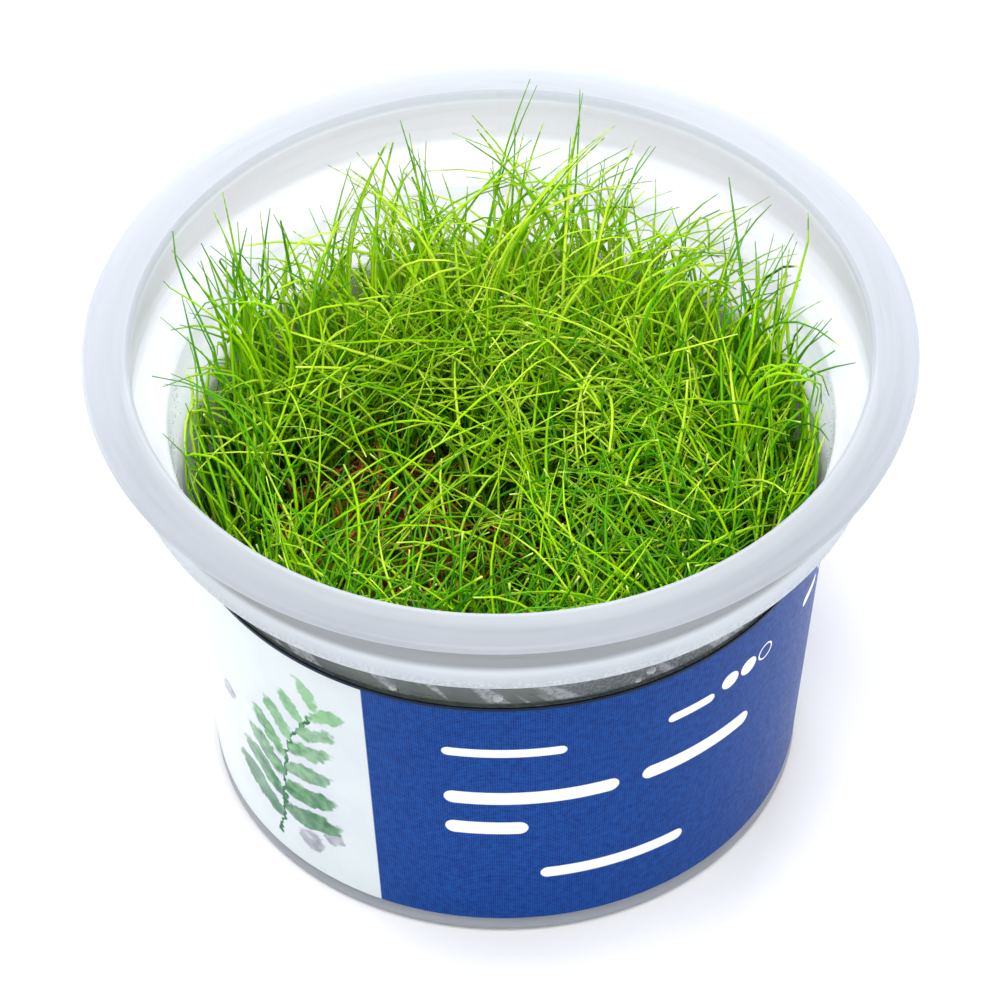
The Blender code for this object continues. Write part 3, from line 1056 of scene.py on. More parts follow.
@dataclass
class Cup:
    """The moulded cup: rim, neck, ledge, tapered body and foot ring."""

    rim_radius: float = 50.0 * MM
    rim_height: float = 65.1 * MM
    rim_drop: float = 0.35 * MM
    rim_thickness: float = 1.2 * MM
    seal_inner: float = 44.8 * MM
    seal_outer: float = 46.6 * MM
    neck_inner: float = 44.3 * MM
    neck_outer: float = 45.4 * MM
    ledge_height: float = 53.8 * MM
    ledge_thickness: float = 0.9 * MM
    wall: float = 0.7 * MM
    foot_radius: float = 35.6 * MM
    taper: float = 0.097
    label_recess: float = 0.5 * MM
    label_low: float = 2.7 * MM
    label_high: float = 44.0 * MM
    bead_radius: float = 35.9 * MM
    foot_corner: float = 1.3 * MM
    ring_width: float = 1.8 * MM
    floor_recess: float = 0.9 * MM
    floor_height: float = 1.8 * MM
    floor_corner: float = 1.2 * MM
    ledge_corner: float = 0.6 * MM
    neck_corner: float = 0.7 * MM
    ledge_fillet: float = 0.5 * MM
    flange_fillet: float = 0.6 * MM
    step_height: float = 0.7 * MM
    ease_start: float = 50.0 * MM
    ease_height: float = 11.0 * MM
    segments: int = 192

    def body_radius(self, z: float) -> float:
        """Return the outer radius of the body over the label panel."""
        return self.foot_radius + self.taper * z

    def panel_radius(self, z: float) -> float:
        """Return the outer radius of the panel under the label."""
        return self.body_radius(z) - self.label_recess

    def inner_radius(self, z: float) -> float:
        """Return the radius inside the wall beside the label panel."""
        return self.panel_radius(z) - self.wall

    def room(self, z: np.ndarray) -> np.ndarray:
        """Work out the radius that blades have at each height, eased over the ledge.

        Args:
            z: The heights.

        Returns:
            The radii.
        """
        body = self.inner_radius(np.minimum(z, self.label_high))
        lift = np.clip((z - self.ease_start) / self.ease_height, 0.0, 1.0)
        eased = lift * lift * (3.0 - 2.0 * lift)
        return body + (self.neck_inner - body) * eased

    def inside(self) -> Profile:
        """Draw the inner profile, from the middle of the floor up to the rim.

        Returns:
            The points.
        """
        corner, ledge_corner = self.floor_corner, self.ledge_corner
        panel_end = self.label_high + GAP
        step_end = panel_end + self.step_height
        edge = self.body_radius(self.ledge_height) - self.wall
        points = [(0.0, self.floor_height), (0.5 * self.foot_radius, self.floor_height)]
        points += arc((self.inner_radius(self.floor_height) - corner, self.floor_height + corner),
                      corner, -90, 0, 5)
        points += [(self.inner_radius(panel_end), panel_end),
                   (self.body_radius(step_end) - self.wall, step_end)]
        points += arc((edge + ledge_corner, self.ledge_height - ledge_corner), ledge_corner, 180, 90, 4)
        points += arc((self.neck_inner - ledge_corner, self.ledge_height + ledge_corner),
                      ledge_corner, -90, 0, 4)
        return points

    def rim(self) -> Profile:
        """Draw the rim's profile, over the crest, the flange and its lip.

        Returns:
            The points.
        """
        crest = self.seal_inner - self.neck_inner
        lip = 0.5 * self.rim_thickness
        fillet = self.flange_fillet
        underside = self.rim_height - self.rim_drop - self.rim_thickness
        points = arc((self.seal_inner, self.rim_height - crest), crest, 180, 90, 5)
        points += [(self.seal_outer, self.rim_height)]
        points += arc((self.rim_radius - lip, self.rim_height - self.rim_drop - lip), lip, 90, -90, 10)
        points += arc((self.neck_outer + fillet, underside - fillet), fillet, 90, 180, 4)
        return points

    def outside(self) -> Profile:
        """Draw the outer profile, from the neck to the middle of the base.

        Returns:
            The points.
        """
        corner, fillet = self.neck_corner, self.ledge_fillet
        underside = self.ledge_height - self.ledge_thickness
        panel_end = self.label_high + GAP
        step_end = panel_end + self.step_height
        ring_outer = self.bead_radius - self.foot_corner
        ring_inner = ring_outer - self.ring_width
        points = arc((self.neck_outer - corner, underside + corner), corner, 0, -90, 5)
        points += arc((self.body_radius(underside - fillet) + fillet, underside - fillet),
                      fillet, 90, 180, 3)
        points += [(self.body_radius(step_end), step_end), (self.panel_radius(panel_end), panel_end)]
        points += [(self.panel_radius(self.label_low - GAP), self.label_low - GAP)]
        points += arc((ring_outer, self.foot_corner), self.foot_corner, 0, -90, 6)
        points += [(ring_inner, 0.0), (ring_inner - self.floor_recess, self.floor_recess)]
        points += [(0.5 * self.foot_radius, self.floor_recess), (0.0, self.floor_recess)]
        return points

    def build(self) -> Object:
        """Build the cup in place of its faceted solid.

        Returns:
            The piece.
        """
        piece = turn_profile("cup_shell", self.inside() + self.rim() + self.outside(), self.segments)
        piece.data.set_sharp_from_angle(angle=math.radians(50))
        piece.data.materials.append(CupPlastic().material())
        return dress(piece, "cup_plastic", "cup")


@dataclass
class Label:
    """The paper wrap on the cup's body, printed blue with one pale panel."""

    cup: Cup
    thickness: float = 0.25 * MM
    seam: float = 0.8 * MM
    segments: int = 192
    rows: int = 6
    panel_edge_angle: float = math.radians(-25.5)
    panel_width: float = 58.0 * MM
    motif_x: float = -29.0 * MM
    bars: tuple[tuple[float, float, float, float], ...] = (
        (-7.5 * MM, 7.0 * MM, 35.4 * MM, 0.75 * MM),
        (19.5 * MM, 26.0 * MM, 35.4 * MM, 0.75 * MM),
        (-7.5 * MM, 13.5 * MM, 26.6 * MM, 1.15 * MM),
        (16.5 * MM, 32.5 * MM, 26.6 * MM, 1.15 * MM),
        (-7.5 * MM, 2.5 * MM, 20.8 * MM, 1.15 * MM),
        (4.0 * MM, 23.0 * MM, 11.6 * MM, 0.95 * MM),
        (44.0 * MM, 49.0 * MM, 35.4 * MM, 0.75 * MM),
    )
    dots: tuple[tuple[float, float], ...] = tuple((x * MM, 36.4 * MM) for x in (28.4, 31.5, 51.0))
    rings: tuple[tuple[float, float], ...] = tuple((x * MM, 36.4 * MM) for x in (34.6, 54.1))
    dot_radius: float = 1.32 * MM
    ring_line: float = 0.12 * MM
    stem_x: float = -34.0 * MM
    stem_low: float = 5.5 * MM
    stem_high: float = 36.0 * MM
    stem_slope: float = 0.34
    stem_sway: float = 1.2 * MM
    stem_wave: float = 190.0
    leaf_count: int = 13
    leaf_length: float = 10.0 * MM
    leaf_width: float = 0.19
    berries: tuple[tuple[float, float, float], ...] = (
        (2.2 * MM, 8.2 * MM, 1.9 * MM),
        (6.0 * MM, 11.4 * MM, 1.5 * MM),
        (-11.0 * MM, 25.5 * MM, 1.3 * MM),
    )

    @property
    def middle_radius(self) -> float:
        """Return the label's radius at half its height."""
        return self.cup.panel_radius(0.5 * (self.cup.label_low + self.cup.label_high)) + GAP

    @property
    def panel_edge(self) -> float:
        """Return the pale panel's right edge, as a place along the sheet."""
        return self.panel_edge_angle * self.middle_radius

    def build(self) -> Object:
        """Build the wrap, open along its seam at the back.

        Returns:
            The piece.
        """
        low, high = self.cup.label_low, self.cup.label_high
        half_seam = 0.5 * self.seam / self.middle_radius
        angles = np.linspace(-math.pi + half_seam, math.pi - half_seam, self.segments + 1)
        heights = np.linspace(low, high, self.rows + 1)
        section = [(z, GAP + self.thickness) for z in heights] + [(z, GAP) for z in heights[::-1]]
        count = len(section)
        vertices = []
        for angle in angles:
            for z, offset in section:
                radius = self.cup.panel_radius(z) + offset
                vertices.append((radius * math.sin(angle), -radius * math.cos(angle), z))
        faces = []
        for i in range(self.segments):
            for k in range(count):
                n = (k + 1) % count
                faces.append((i * count + k, (i + 1) * count + k, (i + 1) * count + n, i * count + n))
        last = self.segments * count
        faces.append(tuple(range(count)))
        faces.append(tuple(reversed(range(last, last + count))))
        piece = mesh_from("label_wrap", np.array(vertices), faces)
        piece.data.set_sharp_from_angle(angle=math.radians(35))
        self.map_sheet(piece, angles, section)
        finish = LabelPrint()
        piece.data.materials.append(finish.material(self))
        piece.data.materials.append(finish.inner_side())
        for face in piece.data.polygons:
            inner = face.index < self.segments * count and face.index % count > self.rows
            face.material_index = Side.INNER.value if inner else Side.OUTER.value
        return dress(piece, "label_paper", "label")

    def map_sheet(self, piece: Object, angles: np.ndarray, section: Profile) -> None:
        """Lay the wrap out flat in a UV map, in metres along it and up it.

        Args:
            piece: The wrap.
            angles: The angle of each row of points round the cup.
            section: The height and offset of each point of a row.
        """
        layer = piece.data.uv_layers.new(name=LabelPrint.map_name)
        count = len(section)
        for loop in piece.data.loops:
            row, place = divmod(loop.vertex_index, count)
            layer.data[loop.index].uv = (angles[row] * self.middle_radius, section[place][0])

    def leaves(self) -> list[tuple[tuple[float, float], float, float, float]]:
        """Set the sprig's leaves left and right along its stem, shorter and more upright to the top.

        Returns:
            Each leaf's middle, length, lean in radians and place along the stem from 0 to 1.
        """
        placed = []
        for number in range(self.leaf_count):
            share = number / (self.leaf_count - 1)
            y = self.stem_low + (0.12 + 0.86 * share) * (self.stem_high - self.stem_low)
            sway = self.stem_sway * math.sin(self.stem_wave * y)
            foot = self.stem_x + self.stem_slope * (y - self.stem_low) + sway
            length = (1.0 - 0.45 * share) * self.leaf_length
            side = 1.0 if number % 2 else -1.0
            lean = side * (1.15 - 0.45 * share) + 0.25
            centre = (foot + 0.5 * length * math.sin(lean), y + 0.5 * length * math.cos(lean))
            placed.append((centre, length, lean, share))
        return placed


@dataclass
class RootMat:
    """The brown mat of roots and runners that the grass stands on."""

    cup: Cup
    top: float = 26.6 * MM
    lump: float = 0.9 * MM
    edge_drop: float = 0.8 * MM
    roughness: float = 0.22 * MM
    side_room: float = 1.6 * GAP
    foot_room: float = 1.6 * MM
    side_heights: tuple[float, ...] = (3.3 * MM, 10.0 * MM, 18.0 * MM)
    segments: int = 120
    rings: int = 40
    strand_count: int = 1300
    strand_points: int = 8
    strand_length: Span = (4.0 * MM, 14.0 * MM)
    strand_radius: Span = (0.12 * MM, 0.32 * MM)
    strand_turn: float = 0.9
    strand_hump: float = 7.0 * MM
    seed: int = 5

    def height(self, x: np.ndarray, y: np.ndarray) -> np.ndarray:
        """Work out the height of the mat's top, as the solid has it.

        Args:
            x: The points' x.
            y: The points' y.

        Returns:
            The heights.
        """
        lumps = np.sin(x / (6.1 * MM) + 0.7) * np.cos(y / (7.3 * MM) - 0.4)
        lumps = lumps + 0.6 * np.sin((x + y) / (4.9 * MM) + 2.1)
        edge = np.hypot(x, y) / self.cup.inner_radius(self.top)
        return self.top + 0.5 * self.lump * lumps - self.edge_drop * edge ** 6

    def build(self) -> Object:
        """Build the mat with a rough top, in place of its solid.

        Returns:
            The piece.
        """
        bottom = self.cup.floor_height + GAP
        edge = self.cup.inner_radius(self.top) - self.side_room
        angles = np.arange(self.segments) * FULL_TURN / self.segments
        sides = [(self.cup.inner_radius(bottom) - self.foot_room, bottom)]
        sides += [(self.cup.inner_radius(z) - self.side_room, z) for z in self.side_heights]
        rng = np.random.default_rng(self.seed)
        vertices = []
        for radius, z in sides:
            vertices.append(np.stack((radius * np.cos(angles), radius * np.sin(angles),
                                      np.full(self.segments, z)), axis=1))
        for i in range(self.rings, 0, -1):
            x = edge * i / self.rings * np.cos(angles)
            y = edge * i / self.rings * np.sin(angles)
            rough = rng.normal(0.0, self.roughness, self.segments)
            vertices.append(np.stack((x, y, self.height(x, y) + rough), axis=1))
        levels = len(vertices)
        flat = np.vstack(vertices + [np.array([[0.0, 0.0, self.height(0.0, 0.0)], [0.0, 0.0, bottom]])])
        faces = []
        centre = levels * self.segments
        for i in range(self.segments):
            j = (i + 1) % self.segments
            for k in range(levels - 1):
                low, high = k * self.segments, (k + 1) * self.segments
                faces.append((low + i, low + j, high + j, high + i))
            last = (levels - 1) * self.segments
            faces.append((last + i, last + j, centre))
            faces.append((j, i, centre + 1))
        piece = mesh_from("root_bed", flat, faces)
        piece.data.materials.append(RootFinish().ground())
        return dress(piece, "root_fibre", "root_mat")

    def strands(self) -> Object:
        """Build the loose roots and runners that lie over the mat.

        Returns:
            The piece.
        """
        rng = np.random.default_rng(self.seed + 1)
        count = self.strand_count
        reach = (self.cup.inner_radius(self.top) - 2.0 * MM) * np.sqrt(rng.random(count))
        angle = rng.random(count) * FULL_TURN
        start = np.stack((reach * np.cos(angle), reach * np.sin(angle)), axis=1)
        heading = rng.random(count) * FULL_TURN
        turn = rng.normal(0.0, self.strand_turn, count)
        length = rng.uniform(*self.strand_length, count)
        steps = np.linspace(0.0, 1.0, self.strand_points)
        direction = heading[:, None] + turn[:, None] * steps
        stride = length[:, None] / (self.strand_points - 1)
        x = start[:, :1] + np.cumsum(np.cos(direction) * stride, axis=1)
        y = start[:, 1:] + np.cumsum(np.sin(direction) * stride, axis=1)
        radius = rng.uniform(*self.strand_radius, count)
        limit = self.cup.inner_radius(self.top) - 1.2 * MM
        shrink = np.minimum(1.0, limit / np.maximum(np.hypot(x, y), 1e-6))
        x, y = x * shrink, y * shrink
        hump = rng.uniform(0.0, self.strand_hump, count)[:, None] * np.sin(math.pi * steps)
        z = self.height(x, y) + 0.6 * radius[:, None] + hump
        paths = np.stack((x, y, z), axis=2)
        thickness = radius[:, None] * (1.0 - 0.5 * steps)
        piece = Tubes().build("root_strands", paths, thickness, rng.random(count), np.zeros(count))
        piece.data.materials.append(RootFinish().strand())
        return dress(piece, "root_fibre")


@dataclass
class Tubes:
    """Builds many thin closed tubes as one mesh, with a tone and a place along each."""

    sides: int = 4
    strips: int = 64

    def build(self, name: str, paths: np.ndarray, radii: np.ndarray, tones: np.ndarray,
              kinds: np.ndarray) -> Object:
        """Build the tubes.

        Args:
            name: The piece's name.
            paths: The middle line of each tube, tubes by points by 3.
            radii: The radius at each point, tubes by points.
            tones: One number from 0 to 1 for each tube, which colours it.
            kinds: 0 or 1 for each tube, which colours its end.

        Returns:
            The object, with no material yet.
        """
        count, points, _ = paths.shape
        around = np.arange(self.sides) * FULL_TURN / self.sides
        tangent = np.gradient(paths, axis=1)
        tangent /= np.linalg.norm(tangent, axis=2, keepdims=True) + 1e-12
        chord = paths[:, -1] - paths[:, 0]
        lateral = np.stack((-chord[:, 1], chord[:, 0], np.zeros(count)), axis=1) + (1e-9, 0.0, 0.0)
        lateral = np.repeat(lateral[:, None, :], points, axis=1)
        lateral -= (lateral * tangent).sum(axis=2, keepdims=True) * tangent
        lateral /= np.linalg.norm(lateral, axis=2, keepdims=True)
        normal = np.cross(tangent, lateral)
        cosine, sine = np.cos(around)[:, None], np.sin(around)[:, None]
        ring = cosine * lateral[:, :, None, :] + sine * normal[:, :, None, :]
        vertices = paths[:, :, None, :] + radii[:, :, None, None] * ring
        base = (np.arange(count) * points * self.sides)[:, None, None]
        low = np.arange(points - 1)[:, None] * self.sides
        k = np.arange(self.sides)
        n = (k + 1) % self.sides
        quads = np.stack((low + k, low + n, low + self.sides + n, low + self.sides + k), axis=-1)
        walls = (base[..., None] + quads[None]).reshape(-1, 4)
        first = base.reshape(-1, 1) + k[::-1]
        last = base.reshape(-1, 1) + (points - 1) * self.sides + k
        piece = mesh_from(name, vertices, walls.tolist() + first.tolist() + last.tolist())
        along = np.linspace(0.0, 1.0, points)[None, :, None] + np.zeros((count, 1, self.sides))
        tone = tones[:, None, None] + np.zeros((1, points, self.sides))
        kind = kinds[:, None, None] + np.zeros((1, points, self.sides))
        self.hold(piece, "along", along)
        self.hold(piece, "tone", tone)
        self.hold(piece, "blunt", kind)
        self.map_strips(piece, tone.ravel(), kind.ravel(), along.ravel())
        return piece

    @staticmethod
    def hold(piece: Object, name: str, values: np.ndarray) -> None:
        """Store a number at each point of a mesh."""
        layer = piece.data.attributes.new(name, "FLOAT", "POINT")
        layer.data.foreach_set("value", values.astype(np.float32).ravel())

    def map_strips(self, piece: Object, tone: np.ndarray, kind: np.ndarray,
                   along: np.ndarray) -> None:
        """Map tubes of like tone and kind onto one strip, so that a small map holds them all.

        Args:
            piece: The tubes.
            tone: Each point's tone.
            kind: Each point's kind, 0 or 1.
            along: Each point's place along its tube, from 0 to 1.
        """
        mesh = piece.data
        corners = np.zeros(len(mesh.loops), dtype=np.int64)
        mesh.loops.foreach_get("vertex_index", corners)
        half = self.strips / 2
        column = np.floor(tone[corners] * (half - 1)) + half * kind[corners] + 0.5
        sweep = ((corners % self.sides) / self.sides - 0.375) * 0.6
        places = np.stack(((column + sweep) / self.strips, 0.01 + 0.98 * along[corners]), axis=1)
        layer = mesh.uv_layers.new(name=BAKE_MAP)
        layer.data.foreach_set("uv", places.astype(np.float32).ravel())


@dataclass(frozen=True)
class Habit:
    """How one kind of blade grows; lengths and tops are shares of the turf's height there."""

    share: float
    wall_share: float
    reach: tuple[float, float]
    top: tuple[float, float]
    start_tilt: tuple[float, float]
    end_tilt: tuple[float, float]
    tone: tuple[float, float]


HABITS = {
    BladeKind.UNDERSTORY: Habit(
        share=0.56, wall_share=0.52, reach=(0.35, 0.95), top=(0.25, 0.80),
        start_tilt=(-0.2, 0.8), end_tilt=(0.5, 1.5), tone=(0.02, 0.55)),
    BladeKind.ARCHING: Habit(
        share=0.27, wall_share=0.28, reach=(1.1, 2.1), top=(0.75, 1.30),
        start_tilt=(-0.2, 0.6), end_tilt=(0.8, 1.90), tone=(0.30, 1.00)),
    BladeKind.UPRIGHT: Habit(
        share=0.17, wall_share=0.20, reach=(0.9, 1.5), top=(0.75, 1.35),
        start_tilt=(-0.3, 0.5), end_tilt=(0.3, 1.50), tone=(0.25, 1.00)),
}


@dataclass
class Blades:
    """A batch of blades: their middle lines, radii, tones and which have blunt tips."""

    paths: np.ndarray
    radii: np.ndarray
    tones: np.ndarray
    blunt: np.ndarray

    def joined(self, other: "Blades") -> "Blades":
        """Join this batch and another.

        Args:
            other: The other batch.

        Returns:
            Both as one.
        """
        pairs = zip((self.paths, self.radii, self.tones, self.blunt),
                    (other.paths, other.radii, other.tones, other.blunt))
        return Blades(*(np.concatenate(pair) for pair in pairs))

    def chosen(self, keep: np.ndarray) -> "Blades":
        """Return the blades that a mask keeps."""
        return Blades(self.paths[keep], self.radii[keep], self.tones[keep], self.blunt[keep])


@dataclass
class Turf:
    """The grass: thousands of blades in place of the coarse tufts, one piece a tuft."""

    cup: Cup
    mat: RootMat
    tuft_count: int = 36
    crown_radius: float = 4.3 * MM
    crown_edge_room: float = 0.4 * MM
    root_room: float = 0.9 * MM
    root_depth: float = 0.8 * MM
    wall_room: float = 0.55 * MM
    level: float = 43.5 * MM
    wall_rise: float = 5.0 * MM
    back_rise: float = 2.5 * MM
    points: int = 11
    seed: int = 11
    candidates: int = 8800
    thickness: Span = (0.14 * MM, 0.25 * MM)
    middle_share: float = 0.54
    edge_share: float = 0.42
    back_opening: float = 0.14
    front_opening: float = 0.20
    bare_x: float = -21.0 * MM
    bare_y: float = 1.0 * MM
    bare_width: float = 27.0 * MM
    bare_depth: float = 17.0 * MM
    bare_share: float = 0.80
    low_lift: float = 0.30
    tall_share: float = 0.13
    tall_length: Span = (1.15, 1.9)
    tall_top: Span = (1.15, 1.65)
    tall_tilt: Span = (0.4, 1.6)
    twist: float = 1.1
    bend: Span = (0.6, 2.4)
    flow_share: float = 0.22
    blunt_share: float = 0.15
    dead_share: float = 0.008
    # Painted light on blades at the back, and painted shade on those at the front and the wall.
    back_painted_light: float = 0.55
    front_shade: float = 0.14
    wall_shade: float = 0.08
    tone_spread: float = 0.12
    long_tone: Span = (0.30, 0.85)
    companions: int = 3
    foot_spread: float = 1.5
    elbow_spread: float = 1.3
    tip_spread: float = 2.2
    tip_drop: Span = (1.5, 9.0)
    elbow_drop: Span = (0.5, 4.0)
    long_blades: tuple[tuple[tuple[float, ...], ...], ...] = (
        ((-33.3, 23.5, 68.5), (-31.6, 21.1, 56.9), (-30.0, 17.5)),
        ((-39.6, 16.0, 66.1), (-34.6, 15.0, 57.7), (-31.5, 13.0)),
        ((-36.3, 14.5, 65.5), (-33.5, 13.5, 60.0), (-31.0, 10.0)),
        ((-35.1, 15.5, 65.7), (-33.9, 14.8, 60.4), (-32.5, 12.0)),
        ((-33.1, 20.5, 63.3), (-31.5, 20.0, 57.1), (-29.0, 18.5)),
        ((-30.4, 20.0, 65.8), (-31.7, 19.3, 59.5), (-30.5, 17.0)),
        ((-28.9, 24.5, 64.3), (-28.4, 23.4, 56.8), (-27.0, 20.5)),
        ((-27.7, 25.5, 63.8), (-28.8, 23.8, 56.4), (-29.0, 19.5)),
        ((-27.3, 24.5, 63.8), (-24.5, 23.4, 56.7), (-21.0, 20.5)),
        ((-26.4, 24.0, 62.9), (-24.7, 23.5, 56.7), (-23.0, 22.0)),
        ((-17.8, 29.5, 67.5), (-20.1, 27.8, 58.6), (-21.5, 24.5)),
        ((-20.7, 29.0, 67.6), (-14.4, 28.6, 62.7), (-10.0, 26.5)),
        ((-13.5, 31.0, 68.7), (-17.2, 30.0, 59.8), (-13.0, 28.0)),
        ((-14.5, 31.0, 67.6), (-11.7, 30.5, 59.8), (-8.5, 29.0)),
        ((-11.8, 35.5, 68.8), (-9.6, 33.7, 58.8), (-7.0, 30.5)),
        ((-10.7, 34.0, 68.0), (-9.8, 32.9, 60.4), (-8.5, 30.0)),
        ((-9.7, 33.0, 66.3), (-9.0, 32.6, 58.1), (-7.5, 31.5)),
        ((-9.0, 31.5, 65.8), (-7.4, 30.7, 57.3), (-5.5, 29.0)),
        ((-16.6, 27.0, 64.7), (-20.2, 26.0, 58.7), (-22.5, 22.5)),
        ((-15.0, 29.5, 62.8), (-14.9, 29.3, 57.1), (-12.5, 28.5)),
        ((-6.8, 31.5, 63.6), (-5.4, 31.4, 57.5), (-3.5, 31.0)),
        ((-3.7, 32.5, 60.3), (-4.1, 32.5, 53.9), (-5.0, 32.5)),
        ((-3.0, 35.5, 69.4), (1.8, 33.9, 62.5), (5.5, 29.5)),
        ((-3.9, 33.5, 67.2), (1.5, 32.5, 62.7), (5.0, 27.0)),
        ((4.1, 36.0, 74.8), (1.0, 34.1, 64.8), (-1.0, 30.5)),
        ((4.2, 33.0, 67.5), (-1.0, 31.9, 61.9), (-6.5, 28.0)),
        ((-0.6, 33.0, 64.2), (-0.5, 32.9, 58.5), (-1.0, 32.5)),
        ((3.6, 33.5, 64.2), (2.8, 33.0, 58.3), (2.0, 31.0)),
        ((10.5, 36.5, 71.9), (9.1, 34.6, 62.6), (7.0, 30.0)),
        ((13.6, 33.0, 69.3), (6.1, 30.8, 61.7), (-1.0, 24.5)),
        ((13.0, 32.5, 68.1), (8.3, 31.4, 63.0), (2.5, 26.5)),
        ((10.9, 32.0, 64.9), (10.9, 31.6, 60.3), (8.5, 29.5)),
        ((13.1, 32.5, 64.8), (12.5, 31.6, 58.6), (11.0, 29.0)),
        ((16.9, 33.5, 66.7), (14.5, 32.1, 60.2), (10.0, 28.0)),
        ((16.4, 31.5, 66.3), (11.2, 30.5, 62.0), (5.0, 25.0)),
        ((15.8, 30.0, 63.4), (13.4, 28.9, 58.5), (9.0, 25.0)),
        ((16.1, 29.5, 62.2), (17.0, 28.7, 55.9), (17.5, 26.5)),
        ((22.1, 27.5, 61.1), (15.1, 26.9, 58.6), (6.0, 22.0)),
        ((21.1, 27.0, 61.2), (22.6, 25.8, 55.8), (23.5, 22.0)),
        ((27.0, 27.0, 61.0), (20.9, 26.0, 57.6), (14.0, 20.0)),
        ((28.3, 26.0, 60.7), (24.1, 24.7, 57.0), (17.5, 18.5)),
        ((28.1, 24.0, 59.1), (22.8, 23.1, 56.4), (15.5, 16.5)),
        ((29.3, 26.0, 60.5), (27.8, 24.3, 54.8), (24.0, 19.0)),
        ((29.0, 23.0, 58.3), (24.5, 22.5, 57.3), (16.5, 14.5)),
        ((30.9, 21.5, 57.2), (26.9, 21.6, 57.4), (19.5, 13.0)),
        ((33.4, 22.0, 61.7), (31.9, 20.1, 54.8), (29.5, 15.5)),
        ((35.8, 21.0, 62.6), (32.8, 18.4, 57.3), (23.5, 9.0)),
        ((33.9, 18.5, 59.2), (33.7, 17.1, 53.4), (31.0, 13.5)),
        ((38.4, 10.5, 57.7), (35.6, 9.3, 53.9), (32.5, 4.5)),
        ((40.9, 7.0, 56.4), (37.1, 6.2, 54.0), (31.0, 0.0)),
        ((41.5, 2.0, 53.7), (37.3, 2.0, 58.0), (29.0, -2.5)),
        ((-40.5, -1.0, 59.7), (-37.1, -1.0, 61.4), (-32.5, -3.0)),
        ((-40.9, -6.0, 56.8), (-37.6, -6.6, 52.4), (-33.0, -9.0)),
        ((-37.6, 9.0, 64.4), (-35.3, 8.7, 58.0), (-33.0, 8.0)),
        ((1.5, 5.0, 57.6), (-0.6, 4.2, 49.5), (-2.5, 2.5)),
        ((-1.0, 3.6, 56.4), (1.4, 3.9, 48.0), (3.0, 2.0)),
    )

    @property
    def root_reach(self) -> float:
        """Return how far from the axis the outermost blades stand."""
        return self.cup.inner_radius(self.mat.top) - self.root_room

    def places(self) -> np.ndarray:
        """Work out the tufts' centres, as the solids have them.

        Returns:
            Each centre's x and y.
        """
        spread = self.cup.inner_radius(self.mat.top) - 1.6 * GAP - self.crown_edge_room - self.crown_radius
        number = np.arange(self.tuft_count)
        radius = spread * np.sqrt((number + 0.5) / self.tuft_count)
        angle = number * math.pi * (3.0 - math.sqrt(5.0))
        return np.stack((radius * np.cos(angle), radius * np.sin(angle)), axis=1)

    def turf_height(self, x: np.ndarray, y: np.ndarray) -> np.ndarray:
        """Work out the height that ordinary blades reach over points of the mat.

        Args:
            x: The points' x.
            y: The points' y.

        Returns:
            The heights.
        """
        edge = self.cup.inner_radius(self.mat.top)
        wall = self.ease(np.hypot(x, y) / edge)
        back = self.ease(y / edge)
        return self.level + self.wall_rise * wall + self.back_rise * back

    def density(self, x: np.ndarray, y: np.ndarray) -> np.ndarray:
        """Work out how closely blades stand: close at the wall, open left of the middle.

        Args:
            x: Where blades may stand.
            y: Where blades may stand.

        Returns:
            The share of them that does, from 0 to 1.
        """
        edge = self.ease((np.hypot(x, y) / self.root_reach - 0.66) / 0.28)
        back = self.ease((y - 8.0 * MM) / (20.0 * MM))
        aside = (x - self.bare_x) / self.bare_width
        along = (y - self.bare_y) / self.bare_depth
        bare = np.exp(-((aside ** 2 + along ** 2) ** 2))
        front = self.ease((10.0 * MM - y) / (18.0 * MM))
        open_share = self.back_opening * back + self.front_opening * front
        kept = self.middle_share + self.edge_share * edge - open_share * (1.0 - 0.5 * edge)
        return kept * (1.0 - self.bare_share * bare)

    @staticmethod
    def ease(value: np.ndarray) -> np.ndarray:
        """Ease from 0 to 1 as the value goes from 0 to 1."""
        held = np.clip(value, 0.0, 1.0)
        return held * held * (3.0 - 2.0 * held)

    @staticmethod
    def pick(rng: np.random.Generator, ranges: np.ndarray) -> np.ndarray:
        """Pick a number from each row's own range."""
        return ranges[:, 0] + (ranges[:, 1] - ranges[:, 0]) * rng.random(len(ranges))

    def stand(self, rng: np.random.Generator) -> tuple[np.ndarray, np.ndarray]:
        """Choose where the ordinary blades stand.

        Args:
            rng: The seeded source of chance.

        Returns:
            Their x and y.
        """
        reach = self.root_reach * np.sqrt(rng.random(self.candidates))
        angle = rng.random(self.candidates) * FULL_TURN
        x, y = reach * np.cos(angle), reach * np.sin(angle)
        kept = rng.random(self.candidates) < self.density(x, y)
        return x[kept], y[kept]

